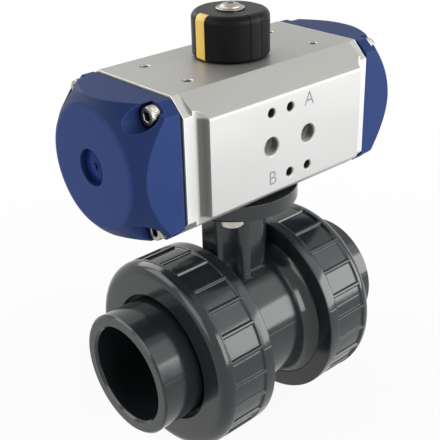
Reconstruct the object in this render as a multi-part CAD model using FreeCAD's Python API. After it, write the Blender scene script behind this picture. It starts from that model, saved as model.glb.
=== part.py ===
import FreeCAD, Part
import math
import os

# Pneumatic ball valve: a plastic true-union ball valve for a 50 mm pipe, turned a
# quarter turn by a double-acting rack-and-pinion air actuator with a position indicator.
# Frame: X along the pipe and the actuator, Z up the stem, the air ports face -Y.
# Origin: under the middle of the valve, at the height of the lowest line of its union nuts.
# The parts stand in the open position: the ball's bore lies along the pipe, the pistons
# are apart, and the yellow markers point along the pipe. All lengths are in millimetres.

V = FreeCAD.Vector
X_AXIS = V(1, 0, 0)
Y_AXIS = V(0, 1, 0)
Z_AXIS = V(0, 0, 1)

# Clearances
run_gap = 0.05             # a shaft or seal that turns or slides in its bore
part_gap = 0.3             # curved faces of parts that move past each other
face_gap = 0.1             # flat faces that turn against each other
thread_gap = 0.1           # a union nut on its threaded spigot
screw_gap = 0.02           # a screw in its own thread
pass_gap = 0.3             # a screw through a plain hole

# Pipe, sockets and union nuts
pipe_rad = 25.0            # outside radius of the pipe that is glued in
glue_gap = 0.1             # room round the pipe in its socket
socket_depth = 31.0
socket_wall = 6.9
socket_edge = 1.0          # chamfer on the socket's outer rim
mouth_lead = 1.2           # lead-in chamfer at the socket's mouth
stop_thick = 4.5           # shoulder that stops the pipe
collar_thick = 6.5         # collar of the end connector, held by the nut
collar_inset = 0.9         # collar inside the spigot's outside
nut_wall = 9.0
nut_len = 32.8
nut_lip = 7.0
nut_hole_gap = 2.0         # round the socket, through the nut's lip
nut_shoulder = 6.0         # rounding of the nut's front edge
nut_ring = 6.5             # plain ring at the nut's inner end
nut_edge = 0.8
panel_depth = 1.1          # how far the panels lie below the ribs
rib_count = 24
rib_width = 1.4
rib_turn = 10.0            # angle from the level of the first rib, degrees

# Valve body
bore_rad = 20.0            # full bore
ball_wall = 9.5            # ball outside the bore
cavity_gap = 2.0
barrel_wall = 5.3
flare_len = 8.0
flare_rise = 5.1           # threaded ends stand this far above the barrel
flare_lap = 0.2            # flare's end inside the union nut
spigot_edge = 1.0
seat_in_gap = 0.5
seat_width = 5.0
seat_lip = 3.2             # seat behind the ball, at the seat's inner edge
seat_step = 3.0            # depth of the pocket that centres the seat
backing_minor = 1.25
connector_seal_minor = 1.2
carrier_seal_minor = 1.3
carrier_depth = 15.5       # from the seat's back to the body's end
carrier_end_gap = 0.6
notch_width = 5.0          # tool notches in the seal carrier
notch_depth = 4.0
notch_reach = 8.0
column_x = 17.8            # half length of the neck along the pipe
column_y = 15.7            # half width of the neck across the pipe
scallop_rad = 10.7         # wrench room round each flange bolt
scallop_out = 1.8          # its centre from the bolt, along the pipe and across
scallop_in = 1.2
column_edge = 1.6          # corner rounding at the ends along the pipe
column_nose = 7.0          # corner rounding at the front and back
foot_grow = 0.8
foot_rise = 0.3            # neck's foot rim above the barrel's crest

# Stem
stem_rad = 9.0
stem_collar_rad = 12.5
stem_collar_thick = 3.5
stem_over_ball = 0.5
tang_width = 9.6
tang_len = 20.0
tang_depth = 6.8
slot_gap = 0.1
stem_seal_minor = 1.2
stem_seal_z = (50.0, 58.0)  # heights above the pipe axis
drive_flat = 11.0          # square drive, across flats
drive_round = 7.05         # the square's corners are turned to this radius
drive_len = 11.5
drive_gap = 0.05

# Mounting flange, 50 mm bolt circle
flange_rad = 32.5
flange_thick = 8.3
flange_edge = 1.5
flange_pcd_rad = 25.0
m6_rad = 3.0
m6_head_flat = 10.0
m6_head_thick = 4.0
m6_bolt_depth = 9.0        # thread engagement in the actuator

# Actuator body
act_rise = 115.0           # actuator axis above the pipe axis
half_h = 32.5
half_w = 34.0
top_half = 26.0            # half width of the flat top
side_half = 24.4           # half height of the flat sides
act_half = 58.5            # half length of the extruded body
act_bore_rad = 26.0
pad_y = 39.1               # how far the air port pad stands from the axis
pad_inset = 9.8            # flat of the pad inside the body's end
pad_side_half = 22.8
pad_edge = 1.5
cutter_rad = 5.1           # round of the milled pad ends
port_rad = 4.3             # G 1/8 thread, at its crests
port_depth = 7.5
port_pitch = 24.0
port_chamfer = 0.55
m5_rad = 2.5
m5_tap_rad = 2.1
m5_depth = 8.0
m5_chamfer = 0.5
port_screw_x = 12.0
port_screw_z = 16.0
top_hole_x = 80.0          # standard hole pattern for a switch box
top_hole_y = 30.0
duct_rad = 1.5
duct_y = 28.6
duct_z = 2.7

# End caps
gasket_thick = 1.2
gasket_inset = 0.9
gasket_hole_gap = 0.6
cap_inset_h = 0.75         # cap's outline inside the body's, at the top and bottom
cap_inset_w = 0.8          # and at the sides
cap_flat_top = 1.3         # its flats reach further to the corners than the body's
cap_flat_side = 2.2
cap_depth = 23.6
cap_disc_rad = 25.6        # flat disc in the middle
cap_crease = ((27.4, 0.1), (28.9, 0.6))     # rounded rim: radius and depth below the disc
cap_slope = (32.5, 3.8)                     # end of the straight slope
cap_round = ((37.5, 9.8), (42.6, 16.0))     # steeper flank out to the corners
cap_skirt_rad = 47.0
cap_cavity_rad = 23.0
cap_cavity_depth = 9.0
cap_screw_in = 4.4305      # cap screws inside the body's slope
cap_screw_up = 1.7756      # and above the slope's middle, along it
cap_pocket_rad = 5.6
cap_seat = 6.2             # cap metal under each screw head
m5_head_rad = 4.25
m5_head_thick = 5.0
m5_head_edge = 0.6
m5_hex_flat = 4.0
m5_hex_depth = 2.5
m5_bolt_depth = 11.0
plug_recess_rad = 8.6
plug_recess_depth = 4.2
plug_shank_rad = 4.5
plug_head_thick = 2.2
plug_rim = 0.25
plug_nub_rad = 1.4
plug_nub = 0.6

# Rack and pinion
gear_module = 1.5
gear_teeth = 16
pressure_angle = 20.0
tooth_thin = 0.06          # taken off each flank for backlash
gear_half = 12.0           # half height of the toothed length
pitch_rad = gear_module * gear_teeth / 2
stroke = pitch_rad * math.pi / 2
rack_half = 11.0           # half height of the rack arm
rack_run_out = 6.5         # arm's end past the pinion axis when open
piston_thick = 12.0
piston_rest = 1.0          # crown's outer face inside the body's end
piston_dish_rad = 17.0
piston_dish = 3.0
piston_seal_minor = 1.3
piston_seal_x = 4.0        # from the crown's outer face
guide_x = 8.2
guide_width = 2.6
guide_thick = 1.3
rack_pad_half = 7.0        # half height of the pad behind the rack
rack_pad_len = 18.0
rack_pad_thick = 3.0
rack_pad_end = 1.0         # from the arm's end

# Pinion shaft
journal_low_rad = 13.8
journal_low_len = 8.5
journal_top_rad = 10.8
journal_top_len = 9.0
shaft_rad = 10.0
pinion_inset = 0.5
journal_gap = 0.25         # journal in the body, carried by the bearing rings
bearing_thick = 1.5
bearing_len = 3.2
bearing_low_in = 4.7       # bearing centres inside the body's bottom
bearing_top_in = 6.9       # and its top
pinion_seal_minor = 0.9
seal_low_in = 2.1
seal_top_in = 3.8
neck_rad = 8.0
neck_flat = 12.0
neck_len = 16.5            # shaft above the body's top
washer_rad = 13.0
washer_thick = 0.8
recess_depth = 2.0
recess_gap = 0.6
ring_thick = 1.0
ring_rad = 10.5
ring_bite = 0.6            # ring's depth in the shaft
ring_opening = 4.0
flats_low = 0.3            # lower end of the shaft's flats above the body's top

# Indicator
knob_rad = 18.4
knob_height = 21.1
knob_lift = 0.5            # gap between the knob and the body's top
knob_round = 3.5
knob_foot = 1.2
marker_turn = -3.3         # the markers sit a little off the pipe's direction, degrees
marker_width = 6.4
marker_thick = 1.8
marker_reach = 15.0        # inner end of the markers on the knob's top
marker_foot = 0.4
marker_gap = 0.1
dome_flange_rad = 6.8
dome_flange_thick = 1.0
dome_rad = 5.2
dome_height = 2.6
dome_hex_depth = 2.0
dome_bolt_len = 13.0

# Worked out from the sizes above
ball_rad = bore_rad + ball_wall
cavity_rad = ball_rad + cavity_gap
barrel_rad = cavity_rad + barrel_wall
spigot_rad = barrel_rad + flare_rise
nut_inner = spigot_rad + thread_gap
nut_rad = nut_inner + nut_wall
pipe_z = nut_rad
seat_in = bore_rad + seat_in_gap
seat_out = seat_in + seat_width
seat_mid = seat_in + seat_width / 2
seat_back = math.sqrt((ball_rad + run_gap) ** 2 - seat_in ** 2) + seat_lip
body_half = seat_back + carrier_depth
collar_rad = spigot_rad - collar_inset
connector_seal_rad = (cavity_rad + spigot_rad) / 2
socket_rad = pipe_rad + glue_gap
socket_out = socket_rad + socket_wall
socket_floor = body_half + stop_thick
valve_half = socket_floor + socket_depth
nut_front = body_half + collar_thick + face_gap + nut_lip
nut_back = nut_front - nut_len
nut_hole = socket_out + nut_hole_gap
flare_end = nut_back + flare_lap
waist_half = flare_end - flare_len
act_z = pipe_z + act_rise
pad_half = act_half - pad_inset
act_top = act_z + half_h
act_bottom = act_z - half_h
bearing_low_z = half_h - bearing_low_in
bearing_top_z = half_h - bearing_top_in
seal_low_z = half_h - seal_low_in
seal_top_z = half_h - seal_top_in
cap_half_h = half_h - cap_inset_h
cap_half_w = half_w - cap_inset_w
cap_top_half = top_half + cap_flat_top
cap_side_half = side_half + cap_flat_side
slope_run, slope_drop = half_w - top_half, half_h - side_half
slope_len = math.hypot(slope_run, slope_drop)
cap_screw_y = (top_half + half_w) / 2 - (cap_screw_up * slope_run + cap_screw_in * slope_drop) / slope_len
cap_screw_z = (half_h + side_half) / 2 + (cap_screw_up * slope_drop - cap_screw_in * slope_run) / slope_len
flange_top = act_bottom
flange_bottom = flange_top - flange_thick
cap_face = act_half + gasket_thick
cap_end = cap_face + cap_depth


def polygon(points):
    return Part.makePolygon([V(*p) for p in points] + [V(*points[0])])


def prism(points, direction):
    return Part.Face(polygon(points)).extrude(direction)


def box(x0, x1, y0, y1, z0, z1):
    return Part.makeBox(x1 - x0, y1 - y0, z1 - z0, V(x0, y0, z0))


def rod(rad, start, end):
    line = V(*end) - V(*start)
    return Part.makeCylinder(rad, line.Length, V(*start), line)


def cone(rad_a, rad_b, start, end):
    line = V(*end) - V(*start)
    return Part.makeCone(rad_a, rad_b, line.Length, V(*start), line)


def ring(rad_in, rad_out, start, end):
    return rod(rad_out, start, end).cut(rod(rad_in, start, end))


def torus(rad, minor, centre, axis):
    return Part.makeTorus(rad, minor, V(*centre), axis)


def outline(place, steps):
    # A step is a point, or a pair of points for an arc through the first to the second.
    edges = []
    last = steps[0]
    for step in steps[1:] + steps[:1]:
        if isinstance(step[0], tuple):
            edges.append(Part.Arc(place(last), place(step[0]), place(step[1])).toShape())
            last = step[1]
        else:
            edges.append(Part.LineSegment(place(last), place(step)).toShape())
            last = step
    return Part.Face(Part.Wire(edges))


def turned_x(steps, axis_z):
    face = outline(lambda p: V(p[0], 0, axis_z + p[1]), steps)
    return face.revolve(V(0, 0, axis_z), X_AXIS, 360)


def turned_z(steps):
    face = outline(lambda p: V(p[0], 0, p[1]), steps)
    return face.revolve(V(0, 0, 0), Z_AXIS, 360)


def corner_arc(centre, rad, angle_a, angle_b):
    # Middle and end point of an arc, for use as one step of an outline.
    def at(angle):
        turn = math.radians(angle)
        return (centre[0] + rad * math.cos(turn), centre[1] + rad * math.sin(turn))
    return (at((angle_a + angle_b) / 2), at(angle_b))


def hex_prism(flat, centre, direction):
    # Hexagon across flats, standing on the centre point and reaching along the direction.
    reach = flat / math.sqrt(3)
    axis = V(*direction)
    side = X_AXIS if abs(axis.x) < abs(axis.z) + abs(axis.y) else Y_AXIS
    up = axis.cross(side).normalize()
    points = []
    for k in range(6):
        a = math.radians(60 * k)
        points.append(tuple(V(*centre) + side * (reach * math.cos(a)) + up * (reach * math.sin(a))))
    return prism(points, axis)


def half_turn(shape):
    other = shape.copy()
    other.rotate(V(0, 0, 0), Z_AXIS, 180)
    return other


def flip_x(shape):
    return shape.mirror(V(0, 0, 0), X_AXIS)


def square_bar(flat, corner_rad, z0, z1):
    half = flat / 2
    return box(-half, half, -half, half, z0, z1).common(rod(corner_rad, (0, 0, z0), (0, 0, z1)))


def flange_places():
    reach = flange_pcd_rad / math.sqrt(2)
    return [(reach * i, reach * j) for i in (-1, 1) for j in (-1, 1)]


# Valve body: barrel, neck and flange, with everything bored into them
def barrel():
    flare_rad = (flare_len ** 2 + flare_rise ** 2) / (2 * flare_rise)
    sweep = math.degrees(math.asin(flare_len / flare_rad))
    right = corner_arc((waist_half, barrel_rad + flare_rad), flare_rad, -90, -90 + sweep)
    left = corner_arc((-waist_half, barrel_rad + flare_rad), flare_rad, -90 - sweep, -90)
    edge = body_half - spigot_edge
    steps = [(-body_half, 0), (-body_half, spigot_rad - spigot_edge), (-edge, spigot_rad),
             (-flare_end, spigot_rad), left, (waist_half, barrel_rad), right,
             (edge, spigot_rad), (body_half, spigot_rad - spigot_edge), (body_half, 0)]
    return turned_x(steps, pipe_z)


def column_bar(grow, z0, z1):
    bar = box(-column_x - grow, column_x + grow, -column_y - grow, column_y + grow, z0, z1)
    for x, y in flange_places():
        x += math.copysign(scallop_out, x)
        y -= math.copysign(scallop_in, y)
        bar = bar.cut(rod(scallop_rad - grow, (x, y, z0), (x, y, z1)))
    upright = [e for e in bar.Edges if abs(e.tangentAt(e.FirstParameter).z) > 0.99]
    nose = [e for e in upright if abs(e.CenterOfMass.y) > column_y + grow - 0.01]
    ends = [e for e in upright if abs(e.CenterOfMass.x) > column_x + grow - 0.01]
    bar = bar.makeFillet(column_nose, nose)
    middles = [e.CenterOfMass for e in ends]
    ends = [e for e in bar.Edges if any((e.CenterOfMass - m).Length < 0.01 for m in middles)]
    return bar.makeFillet(column_edge, ends)


def valve_flange():
    disc = rod(flange_rad, (0, 0, flange_bottom), (0, 0, flange_top))
    low = [e for e in disc.Edges if abs(e.BoundBox.ZMax - flange_bottom) < 0.01]
    disc = disc.makeFillet(flange_edge, low)
    for x, y in flange_places():
        disc = disc.cut(rod(m6_rad + pass_gap, (x, y, flange_bottom), (x, y, flange_top)))
    return disc


def stem_bore():
    return rod(stem_rad + run_gap, (0, 0, pipe_z), (0, 0, flange_top))


def mounting_neck():
    # The upper half of the body moulding: it stands on the barrel as a saddle.
    neck = column_bar(foot_grow, pipe_z, pipe_z + barrel_rad + foot_rise)
    neck = neck.fuse(column_bar(0, pipe_z, flange_bottom)).fuse(valve_flange())
    return neck.cut(barrel()).cut(stem_bore()).removeSplitter()


def valve_body():
    body = barrel()
    body = body.cut(rod(cavity_rad, (-seat_back + seat_step, 0, pipe_z), (body_half, 0, pipe_z)))
    body = body.cut(rod(seat_out + run_gap, (-seat_back, 0, pipe_z), (0, 0, pipe_z)))
    body = body.cut(rod(bore_rad, (-body_half, 0, pipe_z), (0, 0, pipe_z)))
    body = body.cut(face_groove(-seat_back, -1, seat_mid, backing_minor))
    for side in (-1, 1):
        body = body.cut(face_groove(side * body_half, -side, connector_seal_rad, connector_seal_minor))
    collar_top = pipe_z + ball_rad + stem_over_ball + stem_collar_thick
    body = body.cut(rod(stem_collar_rad + part_gap, (0, 0, pipe_z), (0, 0, collar_top + face_gap)))
    return body.cut(stem_bore())


def face_groove(x, inward, rad, minor):
    width = minor + run_gap
    return ring(rad - width, rad + width, (x, 0, pipe_z), (x + inward * 2 * minor, 0, pipe_z))


def face_seal(x, inward, rad, minor):
    return torus(rad, minor, (x + inward * minor, 0, pipe_z), X_AXIS)


# Union nut, made for the right-hand end
def union_nut():
    front = nut_front
    lip = front - nut_lip
    ring_end = nut_back + nut_ring
    ribs_end = front - nut_shoulder
    low = nut_rad - panel_depth
    shoulder = corner_arc((ribs_end, low - nut_shoulder), nut_shoulder, 90, 0)
    steps = [(nut_back, nut_inner), (nut_back, nut_rad - nut_edge), (nut_back + nut_edge, nut_rad),
             (ring_end, nut_rad), (ring_end, low), (ribs_end, low), shoulder,
             (front, nut_hole), (lip, nut_hole), (lip, nut_inner)]
    nut = turned_x(steps, pipe_z)
    top = corner_arc((ribs_end, nut_rad - nut_shoulder), nut_shoulder, 90, 0)
    bead = [(ribs_end - nut_edge, nut_hole), (ribs_end - nut_edge, nut_rad), (ribs_end, nut_rad), top,
            (front, nut_hole)]
    nut = nut.fuse(turned_x(bead, pipe_z))
    ribs = []
    for k in range(rib_count):
        rib = box(ring_end - nut_edge, ribs_end, low - rib_width, nut_rad - 0.02,
                  pipe_z - rib_width / 2, pipe_z + rib_width / 2)
        rib.rotate(V(0, 0, pipe_z), X_AXIS, rib_turn + 360 / rib_count * k)
        ribs.append(rib)
    return nut.multiFuse(ribs).removeSplitter()


# End connector with its pipe socket, made for the right-hand end
def end_connector():
    steps = [(body_half, bore_rad), (body_half, collar_rad),
             (body_half + collar_thick, collar_rad),
             (body_half + collar_thick, socket_out),
             (valve_half - socket_edge, socket_out), (valve_half, socket_out - socket_edge),
             (valve_half, socket_rad + mouth_lead), (valve_half - mouth_lead, socket_rad),
             (socket_floor, socket_rad), (socket_floor, bore_rad)]
    return turned_x(steps, pipe_z)


# Ball, seats, seal carrier and stem
def ball():
    shape = Part.makeSphere(ball_rad, V(0, 0, pipe_z))
    shape = shape.cut(rod(bore_rad, (-ball_rad, 0, pipe_z), (ball_rad, 0, pipe_z)))
    slot_x = tang_width / 2 + slot_gap
    slot_floor = pipe_z + ball_rad - tang_depth - slot_gap
    return shape.cut(box(-slot_x, slot_x, -ball_rad, ball_rad, slot_floor, pipe_z + ball_rad))


def ball_seat():
    blank = ring(seat_in, seat_out, (0, 0, pipe_z), (seat_back, 0, pipe_z))
    return blank.cut(Part.makeSphere(ball_rad + run_gap, V(0, 0, pipe_z)))


def carrier_seal_x():
    return seat_back + (body_half - seat_back) / 2


def seal_carrier():
    outer = cavity_rad - screw_gap
    front = seat_back - seat_step
    back = body_half - carrier_end_gap
    carrier = ring(bore_rad, outer, (front, 0, pipe_z), (back, 0, pipe_z))
    carrier = carrier.cut(rod(seat_out + run_gap, (front, 0, pipe_z), (seat_back, 0, pipe_z)))
    carrier = carrier.cut(face_groove(seat_back, 1, seat_mid, backing_minor))
    width = carrier_seal_minor + run_gap
    middle = carrier_seal_x()
    carrier = carrier.cut(ring(outer - 2 * carrier_seal_minor, outer,
                               (middle - width, 0, pipe_z), (middle + width, 0, pipe_z)))
    reach = bore_rad + notch_reach
    return carrier.cut(box(back - notch_depth, back, -reach, reach,
                           pipe_z - notch_width / 2, pipe_z + notch_width / 2))


def carrier_seal():
    return torus(cavity_rad - screw_gap - carrier_seal_minor, carrier_seal_minor,
                 (carrier_seal_x(), 0, pipe_z), X_AXIS)


def stem():
    collar_low = pipe_z + ball_rad + stem_over_ball
    collar_top = collar_low + stem_collar_thick
    tang_low = pipe_z + ball_rad - tang_depth
    half = tang_width / 2
    tang = box(-half, half, -tang_len / 2, tang_len / 2, tang_low, collar_low)
    tang = tang.common(rod(tang_len / 2, (0, 0, tang_low), (0, 0, collar_low)))
    shape = rod(stem_collar_rad, (0, 0, collar_low), (0, 0, collar_top))
    shape = shape.fuse(rod(stem_rad, (0, 0, collar_low), (0, 0, flange_top)))
    shape = shape.fuse(square_bar(drive_flat, drive_round, collar_top, flange_top + drive_len))
    shape = shape.fuse(tang)
    width = stem_seal_minor + run_gap
    for z in stem_seal_z:
        shape = shape.cut(ring(stem_rad - 2 * stem_seal_minor, stem_rad + 1,
                               (0, 0, pipe_z + z - width), (0, 0, pipe_z + z + width)))
    return shape.removeSplitter()


def stem_seals():
    return [torus(stem_rad - stem_seal_minor, stem_seal_minor, (0, 0, pipe_z + z), Z_AXIS)
            for z in stem_seal_z]


# Flange bolt, its head straight under the flange
def flange_bolt(x, y):
    head_top = flange_bottom
    head_low = head_top - m6_head_thick
    head = hex_prism(m6_head_flat, (x, y, head_low), (0, 0, m6_head_thick))
    round_rad = m6_head_flat / 2
    chamfer = turned_z([(0, head_low), (round_rad, head_low),
                        (round_rad + 1.5, head_low + 0.9), (round_rad + 1.5, head_top), (0, head_top)])
    chamfer.translate(V(x, y, 0))
    shank = rod(m6_rad, (x, y, head_top), (x, y, flange_top + m6_bolt_depth))
    return head.common(chamfer).fuse(shank)


# Actuator body
def octagon(t, w, s, h, x0, x1):
    # Flat top of half width t, sides w apart from the middle with half height s, height h.
    corners = [(t, h), (w, s), (w, -s), (t, -h), (-t, -h), (-w, -s), (-w, s), (-t, h)]
    return prism([(x0, y, act_z + z) for y, z in corners], V(x1 - x0, 0, 0))


def body_outline(inset, x0, x1):
    return octagon(top_half - inset / 2, half_w - inset, side_half - inset / 2, half_h - inset, x0, x1)


def port_pad():
    end = pad_half + cutter_rad
    corners = [(0, half_h), (-top_half, half_h), (-pad_y, pad_side_half), (-pad_y, -pad_side_half),
               (-top_half, -half_h), (0, -half_h)]
    pad = prism([(-end, y, act_z + z) for y, z in corners], V(2 * end, 0, 0))
    long_edges = [e for e in pad.Edges if e.Length > 2 * end - 1 and e.BoundBox.YMax < -pad_y + 0.01]
    pad = pad.makeFillet(pad_edge, long_edges)
    for side in (-1, 1):
        cutter = rod(cutter_rad, (side * end, -pad_y, act_bottom - 1), (side * end, -pad_y, act_top + 1))
        pad = pad.cut(cutter)
    return pad


def tapped_hole(rad, depth, chamfer, place, inward):
    start = V(*place)
    end = start + V(*inward) * depth
    lead = start + V(*inward) * chamfer
    hole = Part.makeCylinder(rad, depth, start, end - start)
    return hole.fuse(Part.makeCone(rad + chamfer, rad, chamfer, start, lead - start))


def cap_screw_places():
    return [(cap_screw_y * i, act_z + cap_screw_z * j) for i in (-1, 1) for j in (-1, 1)]


def port_screw_places():
    return [(-port_screw_x, port_screw_z), (0, port_screw_z), (0, -port_screw_z),
            (port_screw_x, -port_screw_z)]


def air_ducts():
    # The outer port feeds both end chambers, the inner port the space between the pistons.
    half_pitch = port_pitch / 2
    ducts = [rod(duct_rad, (-act_half, -duct_y, act_z + duct_z), (act_half, -duct_y, act_z + duct_z)),
             rod(duct_rad, (-half_pitch, -pad_y + port_depth - 1, act_z + duct_z),
                 (-half_pitch, -duct_y, act_z + duct_z)),
             rod(duct_rad, (half_pitch, -pad_y + port_depth - 1, act_z - duct_z),
                 (half_pitch, 0, act_z - duct_z))]
    return ducts


def actuator_body():
    body = body_outline(0, -act_half, act_half).fuse(port_pad())
    body = body.cut(rod(act_bore_rad, (-act_half, 0, act_z), (act_half, 0, act_z)))
    body = body.cut(rod(journal_low_rad + journal_gap, (0, 0, act_bottom), (0, 0, act_z)))
    body = body.cut(rod(journal_top_rad + journal_gap, (0, 0, act_z), (0, 0, act_top)))
    body = body.cut(rod(washer_rad + recess_gap, (0, 0, act_top - recess_depth), (0, 0, act_top)))
    for x in (-top_hole_x / 2, top_hole_x / 2):
        for y in (-top_hole_y / 2, top_hole_y / 2):
            body = body.cut(tapped_hole(m5_tap_rad, m5_depth, m5_chamfer, (x, y, act_top), (0, 0, -1)))
    for x in (-port_pitch / 2, port_pitch / 2):
        body = body.cut(tapped_hole(port_rad, port_depth, port_chamfer, (x, -pad_y, act_z), (0, 1, 0)))
    for x, z in port_screw_places():
        body = body.cut(tapped_hole(m5_tap_rad, m5_depth, m5_chamfer, (x, -pad_y, act_z + z), (0, 1, 0)))
    for duct in air_ducts():
        body = body.cut(duct)
    for side in (-1, 1):
        for y, z in cap_screw_places():
            inner = side * (act_half - m5_bolt_depth - 1)
            body = body.cut(rod(m5_rad + screw_gap, (inner, y, z), (side * act_half, y, z)))
    for x, y in flange_places():
        body = body.cut(rod(m6_rad + screw_gap, (x, y, act_bottom), (x, y, act_bottom + m6_bolt_depth + 1)))
    return body.removeSplitter()


# End cap, gasket, plug and screws, made for the left-hand end
def end_cap():
    def at(point):
        return (-cap_end + point[1], point[0])
    crease = (at(cap_crease[0]), at(cap_crease[1]))
    rounding = (at(cap_round[0]), at(cap_round[1]))
    dome = [(-cap_end, 0), (-cap_end, cap_disc_rad), crease, at(cap_slope), rounding,
            (-cap_face, cap_skirt_rad), (-cap_face, 0)]
    cap = octagon(cap_top_half, cap_half_w, cap_side_half, cap_half_h, -cap_end, -cap_face)
    cap = cap.common(turned_x(dome, act_z))
    cap = cap.cut(rod(cap_cavity_rad, (-cap_face - cap_cavity_depth, 0, act_z), (-cap_face, 0, act_z)))
    cap = cap.cut(rod(plug_recess_rad, (-cap_end, 0, act_z), (-cap_end + plug_recess_depth, 0, act_z)))
    cap = cap.cut(rod(plug_shank_rad + screw_gap, (-cap_end, 0, act_z), (-cap_face, 0, act_z)))
    duct_cut = box(-cap_face - 2 * duct_rad, -cap_face, -duct_y - duct_rad, -cap_cavity_rad + duct_rad,
                   act_z + duct_z - duct_rad, act_z + duct_z + duct_rad)
    cap = cap.cut(duct_cut)
    for y, z in cap_screw_places():
        cap = cap.cut(rod(cap_pocket_rad, (-cap_end, y, z), (-cap_face - cap_seat, y, z)))
        cap = cap.cut(rod(m5_rad + pass_gap, (-cap_end, y, z), (-cap_face, y, z)))
    return cap.removeSplitter()


def cap_gasket():
    sheet = body_outline(gasket_inset, -cap_face, -act_half)
    sheet = sheet.cut(rod(act_bore_rad + gasket_hole_gap, (-cap_face, 0, act_z), (-act_half, 0, act_z)))
    sheet = sheet.cut(rod(duct_rad, (-cap_face, -duct_y, act_z + duct_z),
                          (-act_half, -duct_y, act_z + duct_z)))
    for y, z in cap_screw_places():
        sheet = sheet.cut(rod(m5_rad + pass_gap, (-cap_face, y, z), (-act_half, y, z)))
    return sheet


def cap_plug():
    floor = -cap_end + plug_recess_depth
    face = floor - plug_head_thick
    edge = plug_recess_rad - plug_rim
    steps = [(floor, 0), (floor, edge), (face + 0.8, edge), ((face + 0.25, edge * 0.6), (face, 0))]
    plug = turned_x(steps, act_z)
    plug = plug.fuse(rod(plug_shank_rad, (floor, 0, act_z), (-cap_face - cap_cavity_depth, 0, act_z)))
    return plug.fuse(rod(plug_nub_rad, (face - plug_nub, 0, act_z), (floor, 0, act_z)))


def cap_screw(y, z):
    under = -cap_face - cap_seat
    head = rod(m5_head_rad, (under - m5_head_thick, y, z), (under, y, z))
    front = [e for e in head.Edges if abs(e.BoundBox.XMax - (under - m5_head_thick)) < 0.01]
    head = head.makeFillet(m5_head_edge, front)
    head = head.cut(hex_prism(m5_hex_flat, (under - m5_head_thick, y, z), (m5_hex_depth, 0, 0)))
    return head.fuse(rod(m5_rad, (under, y, z), (-act_half + m5_bolt_depth, y, z)))


# Rack and pinion
def involute_point(base_rad, roll, mirror, turn):
    x = base_rad * (math.cos(roll) + roll * math.sin(roll))
    y = base_rad * (math.sin(roll) - roll * math.cos(roll)) * mirror
    return (x * math.cos(turn) - y * math.sin(turn), x * math.sin(turn) + y * math.cos(turn))


def gear_tooth(z0, z1):
    # One tooth, centred on the +X direction, with involute flanks from the root outward.
    alpha = math.radians(pressure_angle)
    base_rad = pitch_rad * math.cos(alpha)
    tip_rad = pitch_rad + gear_module
    root_rad = pitch_rad - 1.25 * gear_module
    inv = math.tan(alpha) - alpha
    half_angle = math.pi / (2 * gear_teeth) + inv - tooth_thin / pitch_rad
    end_roll = math.sqrt((tip_rad / base_rad) ** 2 - 1)
    rolls = [end_roll * k / 4 for k in range(5)]
    low = [V(*involute_point(base_rad, t, 1, -half_angle), z0) for t in rolls]
    high = [V(*involute_point(base_rad, t, -1, half_angle), z0) for t in rolls]
    inner = 0.9 * root_rad
    foot_low = V(inner * math.cos(half_angle), -inner * math.sin(half_angle), z0)
    foot_high = V(inner * math.cos(half_angle), inner * math.sin(half_angle), z0)
    flank_low = Part.BSplineCurve()
    flank_low.interpolate(low)
    flank_high = Part.BSplineCurve()
    flank_high.interpolate(high[::-1])
    edges = [Part.LineSegment(foot_low, low[0]).toShape(), flank_low.toShape(),
             Part.Arc(low[-1], V(tip_rad, 0, z0), high[-1]).toShape(), flank_high.toShape(),
             Part.LineSegment(high[0], foot_high).toShape(),
             Part.LineSegment(foot_high, foot_low).toShape()]
    return Part.Face(Part.Wire(edges)).extrude(V(0, 0, z1 - z0))


def pinion():
    low = act_bottom + pinion_inset
    root_rad = pitch_rad - 1.25 * gear_module
    gear_low, gear_top = act_z - gear_half, act_z + gear_half
    shape = rod(root_rad, (0, 0, gear_low), (0, 0, gear_top))
    teeth = []
    for k in range(gear_teeth):
        tooth = gear_tooth(gear_low, gear_top)
        tooth.rotate(V(0, 0, 0), Z_AXIS, 90 + 360 / gear_teeth * k)
        teeth.append(tooth)
    shape = shape.multiFuse(teeth)
    neck_top = act_top + neck_len
    shaft = [(0, low), (journal_low_rad, low), (journal_low_rad, low + journal_low_len),
             (shaft_rad, low + journal_low_len), (shaft_rad, act_top - journal_top_len),
             (journal_top_rad, act_top - journal_top_len), (journal_top_rad, act_top - recess_depth),
             (neck_rad, act_top - recess_depth), (neck_rad, neck_top - 1), (neck_rad - 1, neck_top),
             (0, neck_top)]
    shape = shape.fuse(turned_z(shaft))
    for side in (-1, 1):
        inner, far = sorted((side * neck_flat / 2, side * (neck_rad + 1)))
        shape = shape.cut(box(-neck_rad, neck_rad, inner, far, act_top + flats_low, neck_top))
    for rad, z in ((journal_low_rad, act_z - bearing_low_z), (journal_top_rad, act_z + bearing_top_z)):
        shape = shape.cut(pinion_bearing(rad, z, 1))
    for rad, z in pinion_seal_places():
        width = pinion_seal_minor + run_gap
        shape = shape.cut(ring(rad - 2 * pinion_seal_minor, rad + 1, (0, 0, z - width), (0, 0, z + width)))
    shape = shape.cut(ring(neck_rad - ring_bite, neck_rad + 1, (0, 0, ring_low()),
                           (0, 0, ring_low() + ring_thick)))
    shape = shape.cut(square_bar(drive_flat + 2 * drive_gap, drive_round + drive_gap,
                                 low, act_bottom + drive_len + 1))
    return shape.cut(rod(m6_rad + screw_gap, (0, 0, neck_top - dome_bolt_len), (0, 0, neck_top)))


def ring_low():
    return act_top - recess_depth + washer_thick + face_gap


def pinion_bearing(rad, z, grow=0):
    # A thin ring in the journal's groove; grow makes the tool that cuts the groove.
    return ring(rad - bearing_thick, rad + journal_gap - run_gap + grow,
                (0, 0, z - bearing_len / 2), (0, 0, z + bearing_len / 2))


def pinion_seal_places():
    reach = journal_gap - run_gap
    return [(journal_low_rad + reach, act_z - seal_low_z), (journal_top_rad + reach, act_z + seal_top_z)]


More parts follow.
